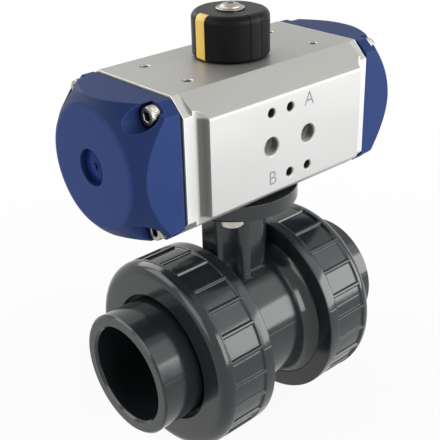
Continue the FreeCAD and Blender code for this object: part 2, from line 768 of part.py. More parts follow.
def pinion_seals():
    return [torus(rad - pinion_seal_minor, pinion_seal_minor, (0, 0, z), Z_AXIS)
            for rad, z in pinion_seal_places()]


def thrust_washer():
    low = act_top - recess_depth
    return ring(neck_rad + part_gap, washer_rad, (0, 0, low), (0, 0, low + washer_thick))


def retaining_ring():
    # An open ring in the shaft's groove, with its gap towards -Y.
    low = ring_low()
    shape = ring(neck_rad - ring_bite, ring_rad, (0, 0, low), (0, 0, low + ring_thick))
    half = ring_opening / 2
    return shape.cut(box(-half, half, -ring_rad - 1, 0, low, low + ring_thick))


def rack_tooth(x, tip_y, root_y, z0, z1):
    # A straight-sided tooth that points towards the pinion, its flanks at the pressure angle.
    slope = math.tan(math.radians(pressure_angle))
    half = math.pi * gear_module / 4 - tooth_thin
    tip = half - (pitch_rad - tip_y) * slope
    root = half + (root_y - pitch_rad) * slope
    return prism([(x - root, root_y, z0), (x - tip, tip_y, z0), (x + tip, tip_y, z0),
                  (x + root, root_y, z0)], V(0, 0, z1 - z0))


def piston():
    # Left-hand piston: its rack passes the pinion on the +Y side.
    outer = -act_half + piston_rest
    inner = outer + piston_thick
    crown_rad = act_bore_rad - part_gap
    crown = rod(crown_rad, (outer, 0, act_z), (inner, 0, act_z))
    crown = crown.cut(cone(piston_dish_rad, piston_dish_rad - 2, (outer, 0, act_z),
                           (outer + piston_dish, 0, act_z)))
    tip_y = pitch_rad - gear_module
    root_y = pitch_rad + 1.25 * gear_module
    z0, z1 = act_z - rack_half, act_z + rack_half
    arm = box(outer + piston_thick / 2, rack_run_out, root_y, act_bore_rad, z0, z1)
    arm = arm.common(rod(crown_rad, (outer, 0, act_z), (rack_run_out, 0, act_z)))
    pitch = math.pi * gear_module
    teeth = []
    for k in range(int((stroke + 2 * rack_run_out) / pitch)):
        teeth.append(rack_tooth(pitch * (0.5 - k), tip_y, root_y, z0, z1))
    shape = crown.fuse(arm).multiFuse(teeth)
    seal_x = outer + piston_seal_x
    width = piston_seal_minor + run_gap
    shape = shape.cut(ring(act_bore_rad - run_gap - 2 * piston_seal_minor, act_bore_rad + 1,
                           (seal_x - width, 0, act_z), (seal_x + width, 0, act_z)))
    shape = shape.cut(guide_ring(outer + guide_x, act_bore_rad + 1))
    return shape.cut(rack_pad(outer)).removeSplitter()


def guide_ring(x, rad_out):
    half = guide_width / 2
    return ring(act_bore_rad - run_gap - guide_thick, rad_out, (x - half, 0, act_z), (x + half, 0, act_z))


def rack_pad(outer):
    x1 = rack_run_out - rack_pad_end
    rad = act_bore_rad - run_gap
    block = box(x1 - rack_pad_len, x1, rad - rack_pad_thick, rad,
                act_z - rack_pad_half, act_z + rack_pad_half)
    return block.common(rod(rad, (outer, 0, act_z), (x1, 0, act_z)))


def piston_seal():
    x = -act_half + piston_rest + piston_seal_x
    return torus(act_bore_rad - run_gap - piston_seal_minor, piston_seal_minor, (x, 0, act_z), X_AXIS)


# Indicator knob, markers and screw
def knob_blank(shrink):
    low = act_top + knob_lift
    top = low + knob_height - shrink
    rad = knob_rad - shrink
    rim = corner_arc((rad - knob_round, top - knob_round), knob_round, 0, 90)
    return turned_z([(0, low), (rad - knob_foot, low), (rad, low + knob_foot),
                     (rad, top - knob_round), rim, (0, top)])


def marker(turn, gap):
    low = act_top + knob_lift + marker_foot - gap
    half = marker_width / 2 + gap
    skin = knob_blank(0).cut(knob_blank(marker_thick))
    sector = box(marker_reach - gap, knob_rad + 1, -half, half, low, low + 2 * knob_height)
    shape = skin.common(sector)
    shape.rotate(V(0, 0, 0), Z_AXIS, turn + marker_turn)
    return shape


def indicator_knob():
    low = act_top + knob_lift
    knob = knob_blank(0)
    for turn in (0, 90, 180, 270):
        knob = knob.cut(marker(turn, marker_gap))
    socket = rod(neck_rad + run_gap, (0, 0, low), (0, 0, act_top + neck_len + face_gap))
    flat = neck_flat / 2 + run_gap
    socket = socket.common(box(-neck_rad - 1, neck_rad + 1, -flat, flat, low, low + knob_height))
    knob = knob.cut(socket)
    return knob.cut(rod(m6_rad + pass_gap, (0, 0, low), (0, 0, low + knob_height)))


def indicator_screw():
    seat = act_top + knob_lift + knob_height
    flange = seat + dome_flange_thick
    top = flange + dome_height
    hex_rad = m5_hex_flat / math.sqrt(3) + 0.6
    profile = [(0, seat), (dome_flange_rad, seat), (dome_flange_rad, flange - 0.4),
               (dome_rad, flange), ((dome_rad * 0.82, flange + dome_height * 0.62), (hex_rad, top)),
               (0, top)]
    screw = turned_z(profile)
    screw = screw.cut(hex_prism(m5_hex_flat, (0, 0, top - dome_hex_depth), (0, 0, dome_hex_depth)))
    low = act_top + neck_len - dome_bolt_len + 1
    return screw.fuse(rod(m6_rad, (0, 0, low), (0, 0, seat)))


def build():
    screws_left = [cap_screw(y, z) for y, z in cap_screw_places()]
    parts = {
        "valve_body": valve_body(),
        "mounting_neck": mounting_neck(),
        "ball": ball(),
        "seal_carrier": seal_carrier(),
        "carrier_seal": carrier_seal(),
        "stem": stem(),
        "stem_seals": Part.Compound(stem_seals()),
        "flange_bolts": Part.Compound([flange_bolt(x, y) for x, y in flange_places()]),
        "actuator_body": actuator_body(),
        "pinion": pinion(),
        "pinion_bearing_lower": pinion_bearing(journal_low_rad, act_z - bearing_low_z),
        "pinion_bearing_upper": pinion_bearing(journal_top_rad, act_z + bearing_top_z),
        "pinion_seals": Part.Compound(pinion_seals()),
        "thrust_washer": thrust_washer(),
        "retaining_ring": retaining_ring(),
        "indicator_knob": indicator_knob(),
        "open_markers": Part.Compound([marker(turn, 0) for turn in (0, 180)]),
        "closed_markers": Part.Compound([marker(turn, 0) for turn in (90, 270)]),
        "indicator_screw": indicator_screw(),
    }
    right_handed = {
        "union_nut": union_nut(),
        "end_connector": end_connector(),
        "connector_seal": face_seal(body_half, -1, connector_seal_rad, connector_seal_minor),
        "ball_seat": ball_seat(),
        "seat_backing_seal": face_seal(seat_back, 1, seat_mid, backing_minor),
    }
    for name, shape in right_handed.items():
        parts[name + "_right"] = shape
        parts[name + "_left"] = half_turn(shape)
    outer = -act_half + piston_rest
    left_handed = {
        "end_cap": end_cap(),
        "cap_gasket": cap_gasket(),
        "cap_plug": cap_plug(),
        "cap_screws": Part.Compound(screws_left),
    }
    for name, shape in left_handed.items():
        parts[name + "_left"] = shape
        parts[name + "_right"] = flip_x(shape)
    half_turned = {
        "piston": piston(),
        "piston_seal": piston_seal(),
        "piston_guide": guide_ring(outer + guide_x, act_bore_rad - run_gap),
        "rack_pad": rack_pad(outer),
    }
    for name, shape in half_turned.items():
        parts[name + "_left"] = shape
        parts[name + "_right"] = half_turn(shape)
    return parts


os.makedirs("parts", exist_ok=True)
for node, shape in sorted(build().items()):
    if not shape.isValid():
        raise ValueError(node + " is not a valid solid")
    shape.exportStep("parts/" + node + ".step")
    print(node, len(shape.Solids), round(shape.Volume, 1))
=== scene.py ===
import math

import bmesh
import bpy
from bpy.props import FloatProperty, FloatVectorProperty, IntProperty, PointerProperty
from bpy.types import Operator, Panel, PropertyGroup
from mathutils import Matrix, Vector


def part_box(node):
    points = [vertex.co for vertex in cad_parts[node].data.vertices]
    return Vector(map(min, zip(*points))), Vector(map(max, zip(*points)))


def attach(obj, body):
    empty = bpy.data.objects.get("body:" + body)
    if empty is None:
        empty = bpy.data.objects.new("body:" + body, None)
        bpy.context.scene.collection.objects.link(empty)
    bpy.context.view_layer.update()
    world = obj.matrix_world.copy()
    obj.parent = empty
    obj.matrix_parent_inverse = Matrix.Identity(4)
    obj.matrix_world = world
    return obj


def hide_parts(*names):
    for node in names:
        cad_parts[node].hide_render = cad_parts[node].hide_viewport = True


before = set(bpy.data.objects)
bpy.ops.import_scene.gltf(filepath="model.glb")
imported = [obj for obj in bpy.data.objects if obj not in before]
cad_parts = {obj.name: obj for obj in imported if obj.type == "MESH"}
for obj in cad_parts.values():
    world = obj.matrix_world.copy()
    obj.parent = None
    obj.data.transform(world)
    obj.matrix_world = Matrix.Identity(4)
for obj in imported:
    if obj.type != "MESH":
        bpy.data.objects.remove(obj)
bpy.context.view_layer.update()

bl_info = {
    "name": "Pneumatic ball valve",
    "version": (1, 0, 0),
    "blender": (4, 5, 0),
    "location": "3D View > Sidebar > Valve",
    "description": "Dresses a true-union plastic ball valve and its air actuator",
    "category": "Object",
}

MM = 0.001
X_AXIS, Z_AXIS = Vector((1, 0, 0)), Vector((0, 0, 1))
WHITE = (1, 1, 1)

# Heights of the two long axes, read from the frame
NUT_LOW, NUT_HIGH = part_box("union_nut_left")
PIPE_Z = (NUT_LOW.z + NUT_HIGH.z) / 2
BODY_LOW, BODY_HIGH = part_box("actuator_body")
ACT_Z = (BODY_LOW.z + BODY_HIGH.z) / 2


# Sizes and colours that a user would change

class NutSizes(PropertyGroup):
    """Union nuts of the valve."""
    rib_count: IntProperty(name="Ribs", description="Ribs round each nut", default=24, min=6,
                           max=60)
    rib_width: FloatProperty(name="Rib width", description="Width of a rib's crest",
                             default=1.5 * MM, unit="LENGTH")
    panel_depth: FloatProperty(name="Panel depth", default=1.1 * MM, unit="LENGTH",
                               description="How far the panels lie below the ribs")
    first_rib: FloatProperty(name="First rib", description="Turn of the first rib from the level",
                             default=math.radians(10), subtype="ANGLE")


class PortSizes(PropertyGroup):
    """Air ports in the actuator's face."""
    thread_pitch: FloatProperty(name="Thread pitch", description="Pitch of the port's thread",
                                default=0.907 * MM, unit="LENGTH")
    thread_depth: FloatProperty(name="Thread depth", description="Depth of the port's thread",
                                default=0.62 * MM, unit="LENGTH")
    letter_height: FloatProperty(name="Letter height", description="Height of the port letters",
                                 default=7 * MM, unit="LENGTH")


class ScrewSizes(PropertyGroup):
    """Socket screws that hold the end caps."""
    head_radius: FloatProperty(name="Head radius", description="Radius over the knurl",
                               default=4.25 * MM, unit="LENGTH")
    knurls: IntProperty(name="Knurls", description="Knurls round a screw's head", default=44,
                        min=12)
    hex_flat: FloatProperty(name="Key size", description="Hexagon socket across flats",
                            default=4 * MM, unit="LENGTH")


class FinishColours(PropertyGroup):
    """Colours of the visible finishes."""
    plastic: FloatVectorProperty(name="Plastic", description="Moulded valve body and nuts",
                                 default=(0.015, 0.0185, 0.0205), subtype="COLOR")
    caps: FloatVectorProperty(name="End caps", description="Coating of the end caps",
                              default=(0.022, 0.0445, 0.150), subtype="COLOR")
    housing: FloatVectorProperty(name="Housing", description="Anodised actuator housing",
                                 default=(0.39, 0.385, 0.365), subtype="COLOR")
    knob: FloatVectorProperty(name="Knob", description="Indicator knob",
                              default=(0.004, 0.004, 0.004), subtype="COLOR")
    marker: FloatVectorProperty(name="Marker", default=(0.98, 0.62, 0.10), subtype="COLOR",
                                description="Inserts that point along the pipe when open")


# Shader building

class Field:
    """A node's output that can stand in sums and products."""

    def __init__(self, paint, socket):
        self.paint = paint
        self.socket = socket

    def math(self, operation, first, second):
        return self.paint.math(operation, first, second)

    def __add__(self, other):
        return self.math("ADD", self, other)

    def __sub__(self, other):
        return self.math("SUBTRACT", self, other)

    def __mul__(self, other):
        return self.math("MULTIPLY", self, other)

    def __truediv__(self, other):
        return self.math("DIVIDE", self, other)

    def __rsub__(self, other):
        return self.math("SUBTRACT", other, self)

    def __rtruediv__(self, other):
        return self.math("DIVIDE", other, self)

    __radd__ = __add__
    __rmul__ = __mul__

    def at_most(self, other):
        return self.math("MINIMUM", self, other)

    def at_least(self, other):
        return self.math("MAXIMUM", self, other)

    def clamped(self):
        return self.at_least(0.0).at_most(1.0)

    def absolute(self):
        return self.math("ABSOLUTE", self, 0.0)


class Paint:
    """A material, or the world, while its nodes are being made."""

    def __init__(self, owner):
        self.owner = owner
        owner.use_nodes = True
        self.tree = owner.node_tree
        self.tree.nodes.clear()
        self.place = self.node("ShaderNodeTexCoord", output="Object")

    def math(self, operation, first, second):
        return self.node("ShaderNodeMath", {"operation": operation}, {0: first, 1: second})

    def node(self, kind, settings=None, sockets=None, output=0):
        """A new node; stops are a ramp's (position, grey) pairs."""
        made = self.tree.nodes.new(kind)
        for key, value in (settings or {}).items():
            if key == "stops":
                ramp = made.color_ramp.elements
                while len(ramp) < len(value):
                    ramp.new(0.5)
                for stop, (position, grey) in zip(ramp, value):
                    stop.position = position
                    stop.color = (grey, grey, grey, 1)
            else:
                setattr(made, key, value)
        for key, value in (sockets or {}).items():
            if isinstance(value, Field):
                self.tree.links.new(value.socket, made.inputs[key])
            elif isinstance(value, (tuple, list)) and len(made.inputs[key].default_value) == 4:
                made.inputs[key].default_value = (*value[:3], 1)
            else:
                made.inputs[key].default_value = value
        return Field(self, made.outputs[output])

    def noise(self, scale, detail=2.0, roughness=0.5, place=None):
        return self.node("ShaderNodeTexNoise", {}, {
            "Vector": place or self.place, "Scale": scale, "Detail": detail,
            "Roughness": roughness})

    def steps(self, value, *stops):
        return self.node("ShaderNodeValToRGB", {"stops": stops}, {"Fac": value})

    def mix(self, amount, first, second):
        return self.node("ShaderNodeMix", {"data_type": "RGBA"},
                         {0: amount, 6: first, 7: second}, output=2)

    def axis(self, letter):
        return self.node("ShaderNodeSeparateXYZ", {}, {0: self.place}, output=letter)

    def stretched(self, x, y, z):
        return self.node("ShaderNodeVectorMath", {"operation": "MULTIPLY"},
                         {0: self.place, 1: (x, y, z)})

    def rounded(self, radius):
        return self.node("ShaderNodeBevel", {"samples": 6}, {"Radius": radius})

    def facing(self, letter, normal=None):
        """How squarely a face looks along an axis, whichever way."""
        normal = normal or self.node("ShaderNodeNewGeometry", output="True Normal")
        return self.node("ShaderNodeSeparateXYZ", {}, {0: normal}, output=letter).absolute()

    def edges(self, rounded, gain):
        """Edges of the shape, where the rounded normal leaves the real one."""
        flat = self.node("ShaderNodeNewGeometry", output="Normal")
        same = self.node("ShaderNodeVectorMath", {"operation": "DOT_PRODUCT"},
                         {0: rounded, 1: flat}, output="Value")
        return ((1 - same) * gain).clamped()

    def hollow(self, reach, start, gain):
        """Holes and corners that little light gets into."""
        open_share = self.node("ShaderNodeAmbientOcclusion", {"samples": 8}, {"Distance": reach},
                               output="AO")
        return ((start - open_share) * gain).clamped()

    def bump(self, height, distance, normal=None):
        sockets = {"Height": height, "Distance": distance}
        if normal is not None:
            sockets["Normal"] = normal
        return self.node("ShaderNodeBump", {}, sockets)

    def seen_straight(self):
        """Whether the camera, the gloss or a clear piece looks at the surface."""
        rays = ("Is Camera Ray", "Is Glossy Ray", "Is Transmission Ray")
        camera, gloss, clear = (self.node("ShaderNodeLightPath", output=ray) for ray in rays)
        return (camera + gloss + clear).clamped()

    def close(self, surface, kind="ShaderNodeOutputMaterial"):
        out = self.tree.nodes.new(kind)
        self.tree.links.new(surface.socket, out.inputs["Surface"])
        return self.owner

    def finish(self, colour, roughness, normal, metallic=0.0, shine=0.5):
        return self.close(self.node("ShaderNodeBsdfPrincipled", {}, {
            "Base Color": colour, "Roughness": roughness, "Normal": normal, "Metallic": metallic,
            "Specular IOR Level": shine}))


def new_paint(name):
    return Paint(bpy.data.materials.new(name))


# Where the housing's faces change: wall beside the port pad, pad, ends and sloped shoulders
WALL_Y = 34.0 * MM
PAD_Y = -BODY_LOW.y
END_X = BODY_HIGH.x
FLANK_HIGH = 22.5 * MM
BARE_METAL = (0.42, 0.43, 0.46)
MILLED = (0.5, 0.5, 0.495)
MILLED_WALL = (0.62, 0.62, 0.615)


def shade(colour, amount):
    return tuple(min(1.0, c * amount) for c in colour)


def moulded_plastic(name, colour, polish=0.15):
    """Dark moulded plastic with a fine skin, faint flow marks, pale edges that are partly wear and
    partly painted highlight, and painted shade in hollows.
    """
    p = new_paint(name)
    # Tones for dust specks, for pale edges that are partly wear and partly painted highlight, and
    # for painted shade in hollows.
    dusty, pale_edge_tone, deep = (shade(colour, tint) for tint in (3.0, 2.6, 0.4))
    flow = p.noise(scale=55.0, detail=3.0, roughness=0.6)
    skin = p.noise(scale=1500.0, detail=3.0, roughness=0.6)
    dust = p.steps(p.noise(scale=900.0, detail=1.0), (0.69, 0.0), (0.78, 1.0))
    round_edge = p.rounded(0.45 * MM)
    edge_share = p.edges(round_edge, gain=3.0) * (p.noise(scale=260.0, detail=3.0) * 1.5)
    tone = p.mix(flow, shade(colour, 0.88), shade(colour, 1.14))
    tone = p.mix((dust * 0.16).clamped(), tone, dusty)
    # Pale edges: partly edge wear, partly painted highlight.
    tone = p.mix((edge_share * 0.55).clamped(), tone, pale_edge_tone)
    # Painted shade in hollows and corners.
    tone = p.mix(p.hollow(reach=14 * MM, start=0.55, gain=1.6), tone, deep)
    gloss = polish + (flow - 0.5) * 0.1 + (skin - 0.5) * 0.06 + dust * 0.1
    height = skin * 0.03 + flow * 0.35
    return p.finish(tone, gloss.clamped(), p.bump(height, 0.12 * MM, round_edge), shine=0.46)


def blasted_anodised(name, colour):
    """Bead-blasted natural anodising, milled on the port side, with painted shade on the pad's
    flanks and in the holes and a painted highlight along the end rims.
    """
    p = new_paint(name)
    # Lighter tones: flecks, pale edges, and the painted highlight along the end rims.
    bright, pale_edge_tone, painted_rim_highlight = (shade(colour, tint) for tint in (1.4, 1.3, 1.9))
    # Painted shade tones: for the pad's flanks, and for holes and ports.
    painted_flank_shade, deep = shade(colour, 0.2), shade(colour, 0.3)
    grain = p.noise(scale=2600.0, detail=2.0, roughness=0.7)
    cloud = p.noise(scale=24.0, detail=3.0, roughness=0.55)
    fleck = p.steps(p.noise(scale=1300.0, detail=0.0), (0.7, 0.0), (0.78, 1.0))
    rub = p.noise(scale=70.0, detail=5.0, roughness=0.7, place=p.stretched(0.35, 1.0, 1.0))
    rub = p.steps(rub, (0.52, 0.0), (0.75, 1.0))
    round_edge = p.rounded(0.35 * MM)
    edge_share = p.edges(round_edge, gain=2.5)
    out = (0.0 - p.axis("Y") - WALL_Y) / (PAD_Y - WALL_Y)
    side_on = (p.facing("X") * 5 - 1.2).clamped()
    front_on = (p.facing("Y") * 14 - 13).clamped()
    level = 1 - ((p.axis("Z") - ACT_Z).absolute() / MM - FLANK_HIGH / MM).clamped()
    flank = p.steps(out, (0.03, 0.0), (0.1, 0.92), (0.5, 1.0), (0.8, 0.75), (1.0, 0.0)) * side_on
    rim = (p.axis("X").absolute() / MM - END_X / MM + 0.6).clamped() * 2
    tone = p.mix(cloud, shade(colour, 0.96), shade(colour, 1.04))
    tone = p.mix((fleck * 0.14).clamped(), tone, bright)
    tone = p.mix((edge_share * 0.5).clamped(), tone, pale_edge_tone)
    tone = p.mix(front_on, tone, MILLED)
    tone = p.mix(front_on * (1 - out * 12).clamped(), tone, MILLED_WALL)
    # Painted shade on the pad's flanks.
    tone = p.mix(flank * level * 0.9, tone, painted_flank_shade)
    # Painted highlight along the housing's end rims.
    tone = p.mix(rim.clamped(), tone, painted_rim_highlight)
    # Painted shade in holes and ports.
    tone = p.mix(p.hollow(reach=7 * MM, start=0.5, gain=2.2), tone, deep)
    gloss = 0.46 + (grain - 0.5) * 0.16 - rub * 0.05 - edge_share * 0.1
    height = grain * 0.5 + fleck * 0.2
    return p.finish(tone, gloss.clamped(), p.bump(height, 0.03 * MM, round_edge), metallic=0.72)


def satin_coating(name, colour):
    """Satin stove coating with painted shade on the cone and in the pockets, painted light on the
    nose, painted highlight on the edges and bare-metal nicks.
    """
    p = new_paint(name)
    # Painted shade for the cone and the pockets, painted light for the nose, and a pale tone for
    # edges that is painted highlight.
    painted_cone_shade, painted_nose_light, pale_edge_tone, deep = (shade(colour, tint) for tint in (0.73, 1.2, 2.2, 0.15))
    peel = p.noise(scale=620.0, detail=1.0, roughness=0.4)
    fine = p.noise(scale=2400.0, detail=2.0, roughness=0.6)
    cloud = p.noise(scale=30.0)
    nick = p.steps(p.noise(scale=420.0, roughness=0.6), (0.7, 0.0), (0.76, 1.0))
    round_edge = p.rounded(0.9 * MM)
    edge_share = p.edges(round_edge, gain=6.5)
    end_on = p.facing("X", round_edge)
    cone = p.steps(end_on, (0.3, 0.0), (0.55, 1.0), (0.8, 1.0), (0.96, 0.0))
    nose = p.steps(end_on, (0.9, 0.0), (0.97, 1.0))
    tone = p.mix(cloud, shade(colour, 0.84), shade(colour, 0.99))
    # Painted shade on the cone and painted light on the nose, set by which way the surface faces.
    tone = p.mix(cone, tone, painted_cone_shade)
    tone = p.mix(nose, tone, painted_nose_light)
    # Pale edges are painted highlight; the nicks on the next line are bare metal.
    tone = p.mix((edge_share * 0.7).clamped(), tone, pale_edge_tone)
    tone = p.mix((edge_share * nick * 0.9).clamped(), tone, BARE_METAL)
    # Painted shade in the screw pockets and holes.
    tone = p.mix(p.hollow(reach=9 * MM, start=0.5, gain=2.4), tone, deep)
    gloss = 0.47 + (fine - 0.5) * 0.12 + (cloud - 0.5) * 0.08
    height = peel * 0.8 + fine * 0.12
    return p.finish(tone, gloss.clamped(), p.bump(height, 0.035 * MM, round_edge), shine=0.08)


def gloss_plastic(name, colour, polish=0.16, shine=0.5):
    """Small glossy moulding."""
    p = new_paint(name)
    flow = p.noise(scale=120.0, detail=3.0)
    fine = p.noise(scale=1800.0, roughness=0.6)
    round_edge = p.rounded(0.3 * MM)
    edge_share = p.edges(round_edge, gain=2.0)
    tone = p.mix(flow, shade(colour, 0.92), shade(colour, 1.08))
    tone = p.mix((edge_share * 0.35).clamped(), tone, shade(colour, 1.7))
    gloss = polish + flow * 0.1 + fine * 0.05
    height = fine * 0.2 + flow
    return p.finish(tone, gloss.clamped(), p.bump(height, 0.03 * MM, round_edge), shine=shine)


def turned_steel(name, colour=(0.42, 0.40, 0.36), polish=0.26):
    """Stainless fastener steel with faint tool marks and painted shade in the sockets and corners.
    """
    p = new_paint(name)
    marks = p.noise(scale=900.0, detail=4.0, roughness=0.7, place=p.stretched(0.2, 1.0, 1.0))
    stain = p.noise(scale=160.0, detail=3.0, roughness=0.6)
    round_edge = p.rounded(0.2 * MM)
    edge_share = p.edges(round_edge, gain=2.0)
    tone = p.mix(stain, shade(colour, 0.72), shade(colour, 1.1))
    tone = p.mix((edge_share * 0.5).clamped(), tone, shade(colour, 1.4))
    # Painted shade in sockets and corners.
    tone = p.mix(p.hollow(reach=4 * MM, start=0.66, gain=3.0), tone, shade(colour, 0.05))
    gloss = polish + (marks - 0.5) * 0.18 + stain * 0.1
    return p.finish(tone, gloss.clamped(), p.bump(marks, 0.02 * MM, round_edge), metallic=1.0)


def cast_metal(name, colour):
    """Plain cast or machined metal inside the housing."""
    p = new_paint(name)
    grain = p.noise(scale=700.0, detail=4.0, roughness=0.7)
    tone = p.mix(grain, shade(colour, 0.8), shade(colour, 1.15))
    gloss = 0.38 + grain * 0.2
    normal = p.bump(grain, 0.08 * MM, p.rounded(0.3 * MM))
    return p.finish(tone, gloss.clamped(), normal, metallic=1.0)


def soft_rubber(name, colour):
    """Matt seal rubber."""
    p = new_paint(name)
    grain = p.noise(scale=1400.0, detail=3.0, roughness=0.6)
    bloom = p.noise(scale=90.0)
    tone = p.mix(bloom, shade(colour, 0.8), shade(colour, 1.5))
    gloss = 0.62 + grain * 0.2
    return p.finish(tone, gloss.clamped(), p.bump(grain, 0.06 * MM), shine=0.15)


def smooth_polymer(name, colour):
    """Machined white polymer of seats and bearing rings."""
    p = new_paint(name)
    rings = p.noise(scale=1100.0)
    tone = p.mix(p.noise(scale=60.0), shade(colour, 0.92), shade(colour, 1.04))
    gloss = 0.42 + rings * 0.12
    return p.finish(tone, gloss.clamped(), p.bump(rings, 0.03 * MM, p.rounded(0.25 * MM)))


def printed_ink(name, colour):
    """Thin grey ink of the port letters."""
    p = new_paint(name)
    wear = p.noise(scale=800.0, detail=3.0, roughness=0.6)
    tone = p.mix(wear, shade(colour, 0.8), shade(colour, 1.5))
    return p.finish(tone, (0.5 + wear * 0.2).clamped(), p.bump(wear, 0.02 * MM))


# Mesh building

MERGE = 0.002 * MM
SMOOTH_ANGLE = math.radians(32)


def hexagon(flat):
    """Radius of a hexagon across flats, as a function of the angle."""
    def radius(angle):
        turn = (angle + math.pi / 6) % (math.pi / 3) - math.pi / 6
        return flat / 2 / math.cos(turn)
    return radius


def lathe(steps, along, centre, segments):
    """Turned mesh: each step is a place along the axis and a radius, which may follow the angle."""
    mesh = bmesh.new()
    along = Vector(along).normalized()
    side = along.orthogonal().normalized()
    over = along.cross(side)
    rings = []
    for reach, radius in steps:
        middle = Vector(centre) + along * reach
        if radius == 0:
            rings.append([mesh.verts.new(middle)])
            continue
        ring = []
        for k in range(segments):
            angle = 2 * math.pi * k / segments
            size = radius(angle) if callable(radius) else radius
            out = side * math.cos(angle) + over * math.sin(angle)
            ring.append(mesh.verts.new(middle + out * size))
        rings.append(ring)
    for low, high in zip(rings, rings[1:]):
        for k in range(segments):
            after = (k + 1) % segments
            if len(low) == 1:
                mesh.faces.new((low[0], high[k], high[after]))
            elif len(high) == 1:
                mesh.faces.new((low[after], low[k], high[0]))
            else:
                mesh.faces.new((low[k], low[after], high[after], high[k]))
    bmesh.ops.recalc_face_normals(mesh, faces=mesh.faces)
    return mesh


def arc(centre, radius, start, end, count=6):
    """Steps of a rounded corner in a turned outline: (along, radius) pairs."""
    angles = [math.radians(start + (end - start) * k / count) for k in range(count + 1)]
    along, off = centre
    return [(along + radius * math.cos(a), off + radius * math.sin(a)) for a in angles]


def scrap(name, mesh):
    """An object that only helps to make another one."""
    data = bpy.data.meshes.new(name)
    mesh.to_mesh(data)
    mesh.free()
    made = bpy.data.objects.new(name, data)
    bpy.context.scene.collection.objects.link(made)
    return made


def piece(name, source, material, body, slot, replaces=()):
    """A finished piece from a bmesh or a helper object, riding on its body."""
    if isinstance(source, bmesh.types.BMesh):
        source = scrap(name + ".draft", source)
    graph = bpy.context.evaluated_depsgraph_get()
    shape = bpy.data.meshes.new_from_object(source.evaluated_get(graph))
    bpy.data.objects.remove(source)
    shape.name = name
    for carried in ("custom_normal", "sharp_edge"):
        if carried in shape.attributes:
            shape.attributes.remove(shape.attributes[carried])
    shape.polygons.foreach_set("use_smooth", [True] * len(shape.polygons))
    shape.set_sharp_from_angle(angle=SMOOTH_ANGLE)
    shape.materials.clear()
    shape.materials.append(material)
    made = bpy.data.objects.new(name, shape)
    bpy.context.scene.collection.objects.link(made)
    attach(made, body)
    if replaces:
        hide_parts(*replaces)
    return made


def grow(tool, tree, **inputs):
    """Puts a geometry tree on a helper object, its inputs set by the sockets' identifiers."""
    modifier = tool.modifiers.new(tree.name, "NODES")
    modifier.node_group = tree
    names = {item.name: item.identifier for item in tree.interface.items_tree
             if item.in_out == "INPUT"}
    for key, value in inputs.items():
        modifier[names[key.replace("_", " ")]] = value
    return tool


def cad_copy(node):
    """A merged copy of a CAD node's mesh."""
    mesh = bmesh.new()
    mesh.from_mesh(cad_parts[node].data)
    bmesh.ops.remove_doubles(mesh, verts=mesh.verts, dist=MERGE)
    return mesh


def repaint(material, *nodes):
    for node in nodes:
        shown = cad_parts[node]
        shown.data.materials.clear()
        shown.data.materials.append(material)


def both(name):
    return (name + "_left", name + "_right")


# Geometry trees

class Tree:
    """A geometry tree while it is being built."""

    def __init__(self, name, *inputs):
        self.group = bpy.data.node_groups.new(name, "GeometryNodeTree")
        face = self.group.interface
        face.new_socket("Geometry", in_out="INPUT", socket_type="NodeSocketGeometry")
        for label, kind in inputs:
            face.new_socket(label, in_out="INPUT", socket_type="NodeSocket" + kind)
        face.new_socket("Finish", in_out="INPUT", socket_type="NodeSocketMaterial")
        face.new_socket("Geometry", in_out="OUTPUT", socket_type="NodeSocketGeometry")
        self.given = self.group.nodes.new("NodeGroupInput")
        self.out = self.group.nodes.new("NodeGroupOutput")

    def node(self, kind, settings=None, sockets=None):
        made = self.group.nodes.new(kind)
        for key, value in (settings or {}).items():
            setattr(made, key, value)
        for key, value in (sockets or {}).items():
            if isinstance(value, bpy.types.NodeSocket):
                self.group.links.new(value, made.inputs[key])
            else:
                made.inputs[key].default_value = value
        return made

    def math(self, operation, *values):
        made = self.node("ShaderNodeMath", {"operation": operation}, dict(enumerate(values)))
        return made.outputs[0]

    def copies(self, points, axis, angle):
        """The part that is given, set on points and turned about an axis."""
        turn = self.node("FunctionNodeAxisAngleToRotation", {}, {"Axis": axis, "Angle": angle})
        part = self.node("GeometryNodeObjectInfo", {}, {"Object": self.given.outputs["Part"]})
        return self.node("GeometryNodeInstanceOnPoints", {}, {
            "Points": points, "Instance": part.outputs["Geometry"],
            "Rotation": turn.outputs[0]}).outputs[0]

    def end(self, shape):
        real = self.node("GeometryNodeRealizeInstances", {}, {"Geometry": shape}).outputs[0]
        finish = self.given.outputs["Finish"]
        done = self.node("GeometryNodeSetMaterial", {}, {"Geometry": real, "Material": finish})
        self.group.links.new(done.outputs[0], self.out.inputs[0])
        return self.group


def ring_of_parts():
    """Joins copies of a part, turned evenly round an axis through a centre, to the geometry."""
    t = Tree("ring of parts", ("Part", "Object"), ("Count", "Int"), ("Centre", "Vector"),
             ("Axis", "Vector"), ("Start", "Float"))
    given = t.given.outputs
    points = t.node("GeometryNodePoints", {}, {
        "Count": given["Count"], "Position": given["Centre"]})
    index = t.node("GeometryNodeInputIndex").outputs[0]
    step = t.math("DIVIDE", 2 * math.pi, given["Count"])
    angle = t.math("ADD", t.math("MULTIPLY", step, index), given["Start"])
    copies = t.copies(points.outputs[0], given["Axis"], angle)
    joined = t.node("GeometryNodeJoinGeometry")
    t.group.links.new(given["Geometry"], joined.inputs[0])
    t.group.links.new(copies, joined.inputs[0])
    return t.end(joined.outputs[0])


def parts_at_places():
    """Sets a copy of a part on each point of the geometry, all turned alike about the upright."""
    t = Tree("parts at places", ("Part", "Object"), ("Turn", "Float"))
    given = t.given.outputs
    return t.end(t.copies(given["Geometry"], Z_AXIS, given["Turn"]))


# Thread: vertices round and along its wall, its crest's flat and softness, its run-out in pitches
THREAD_ROUND = 73
THREAD_LONG = 61
THREAD_STEEP = 1.3
THREAD_SOFT = 0.1
THREAD_FADE = 0.4
THREAD_MERGE = 0.005 * MM


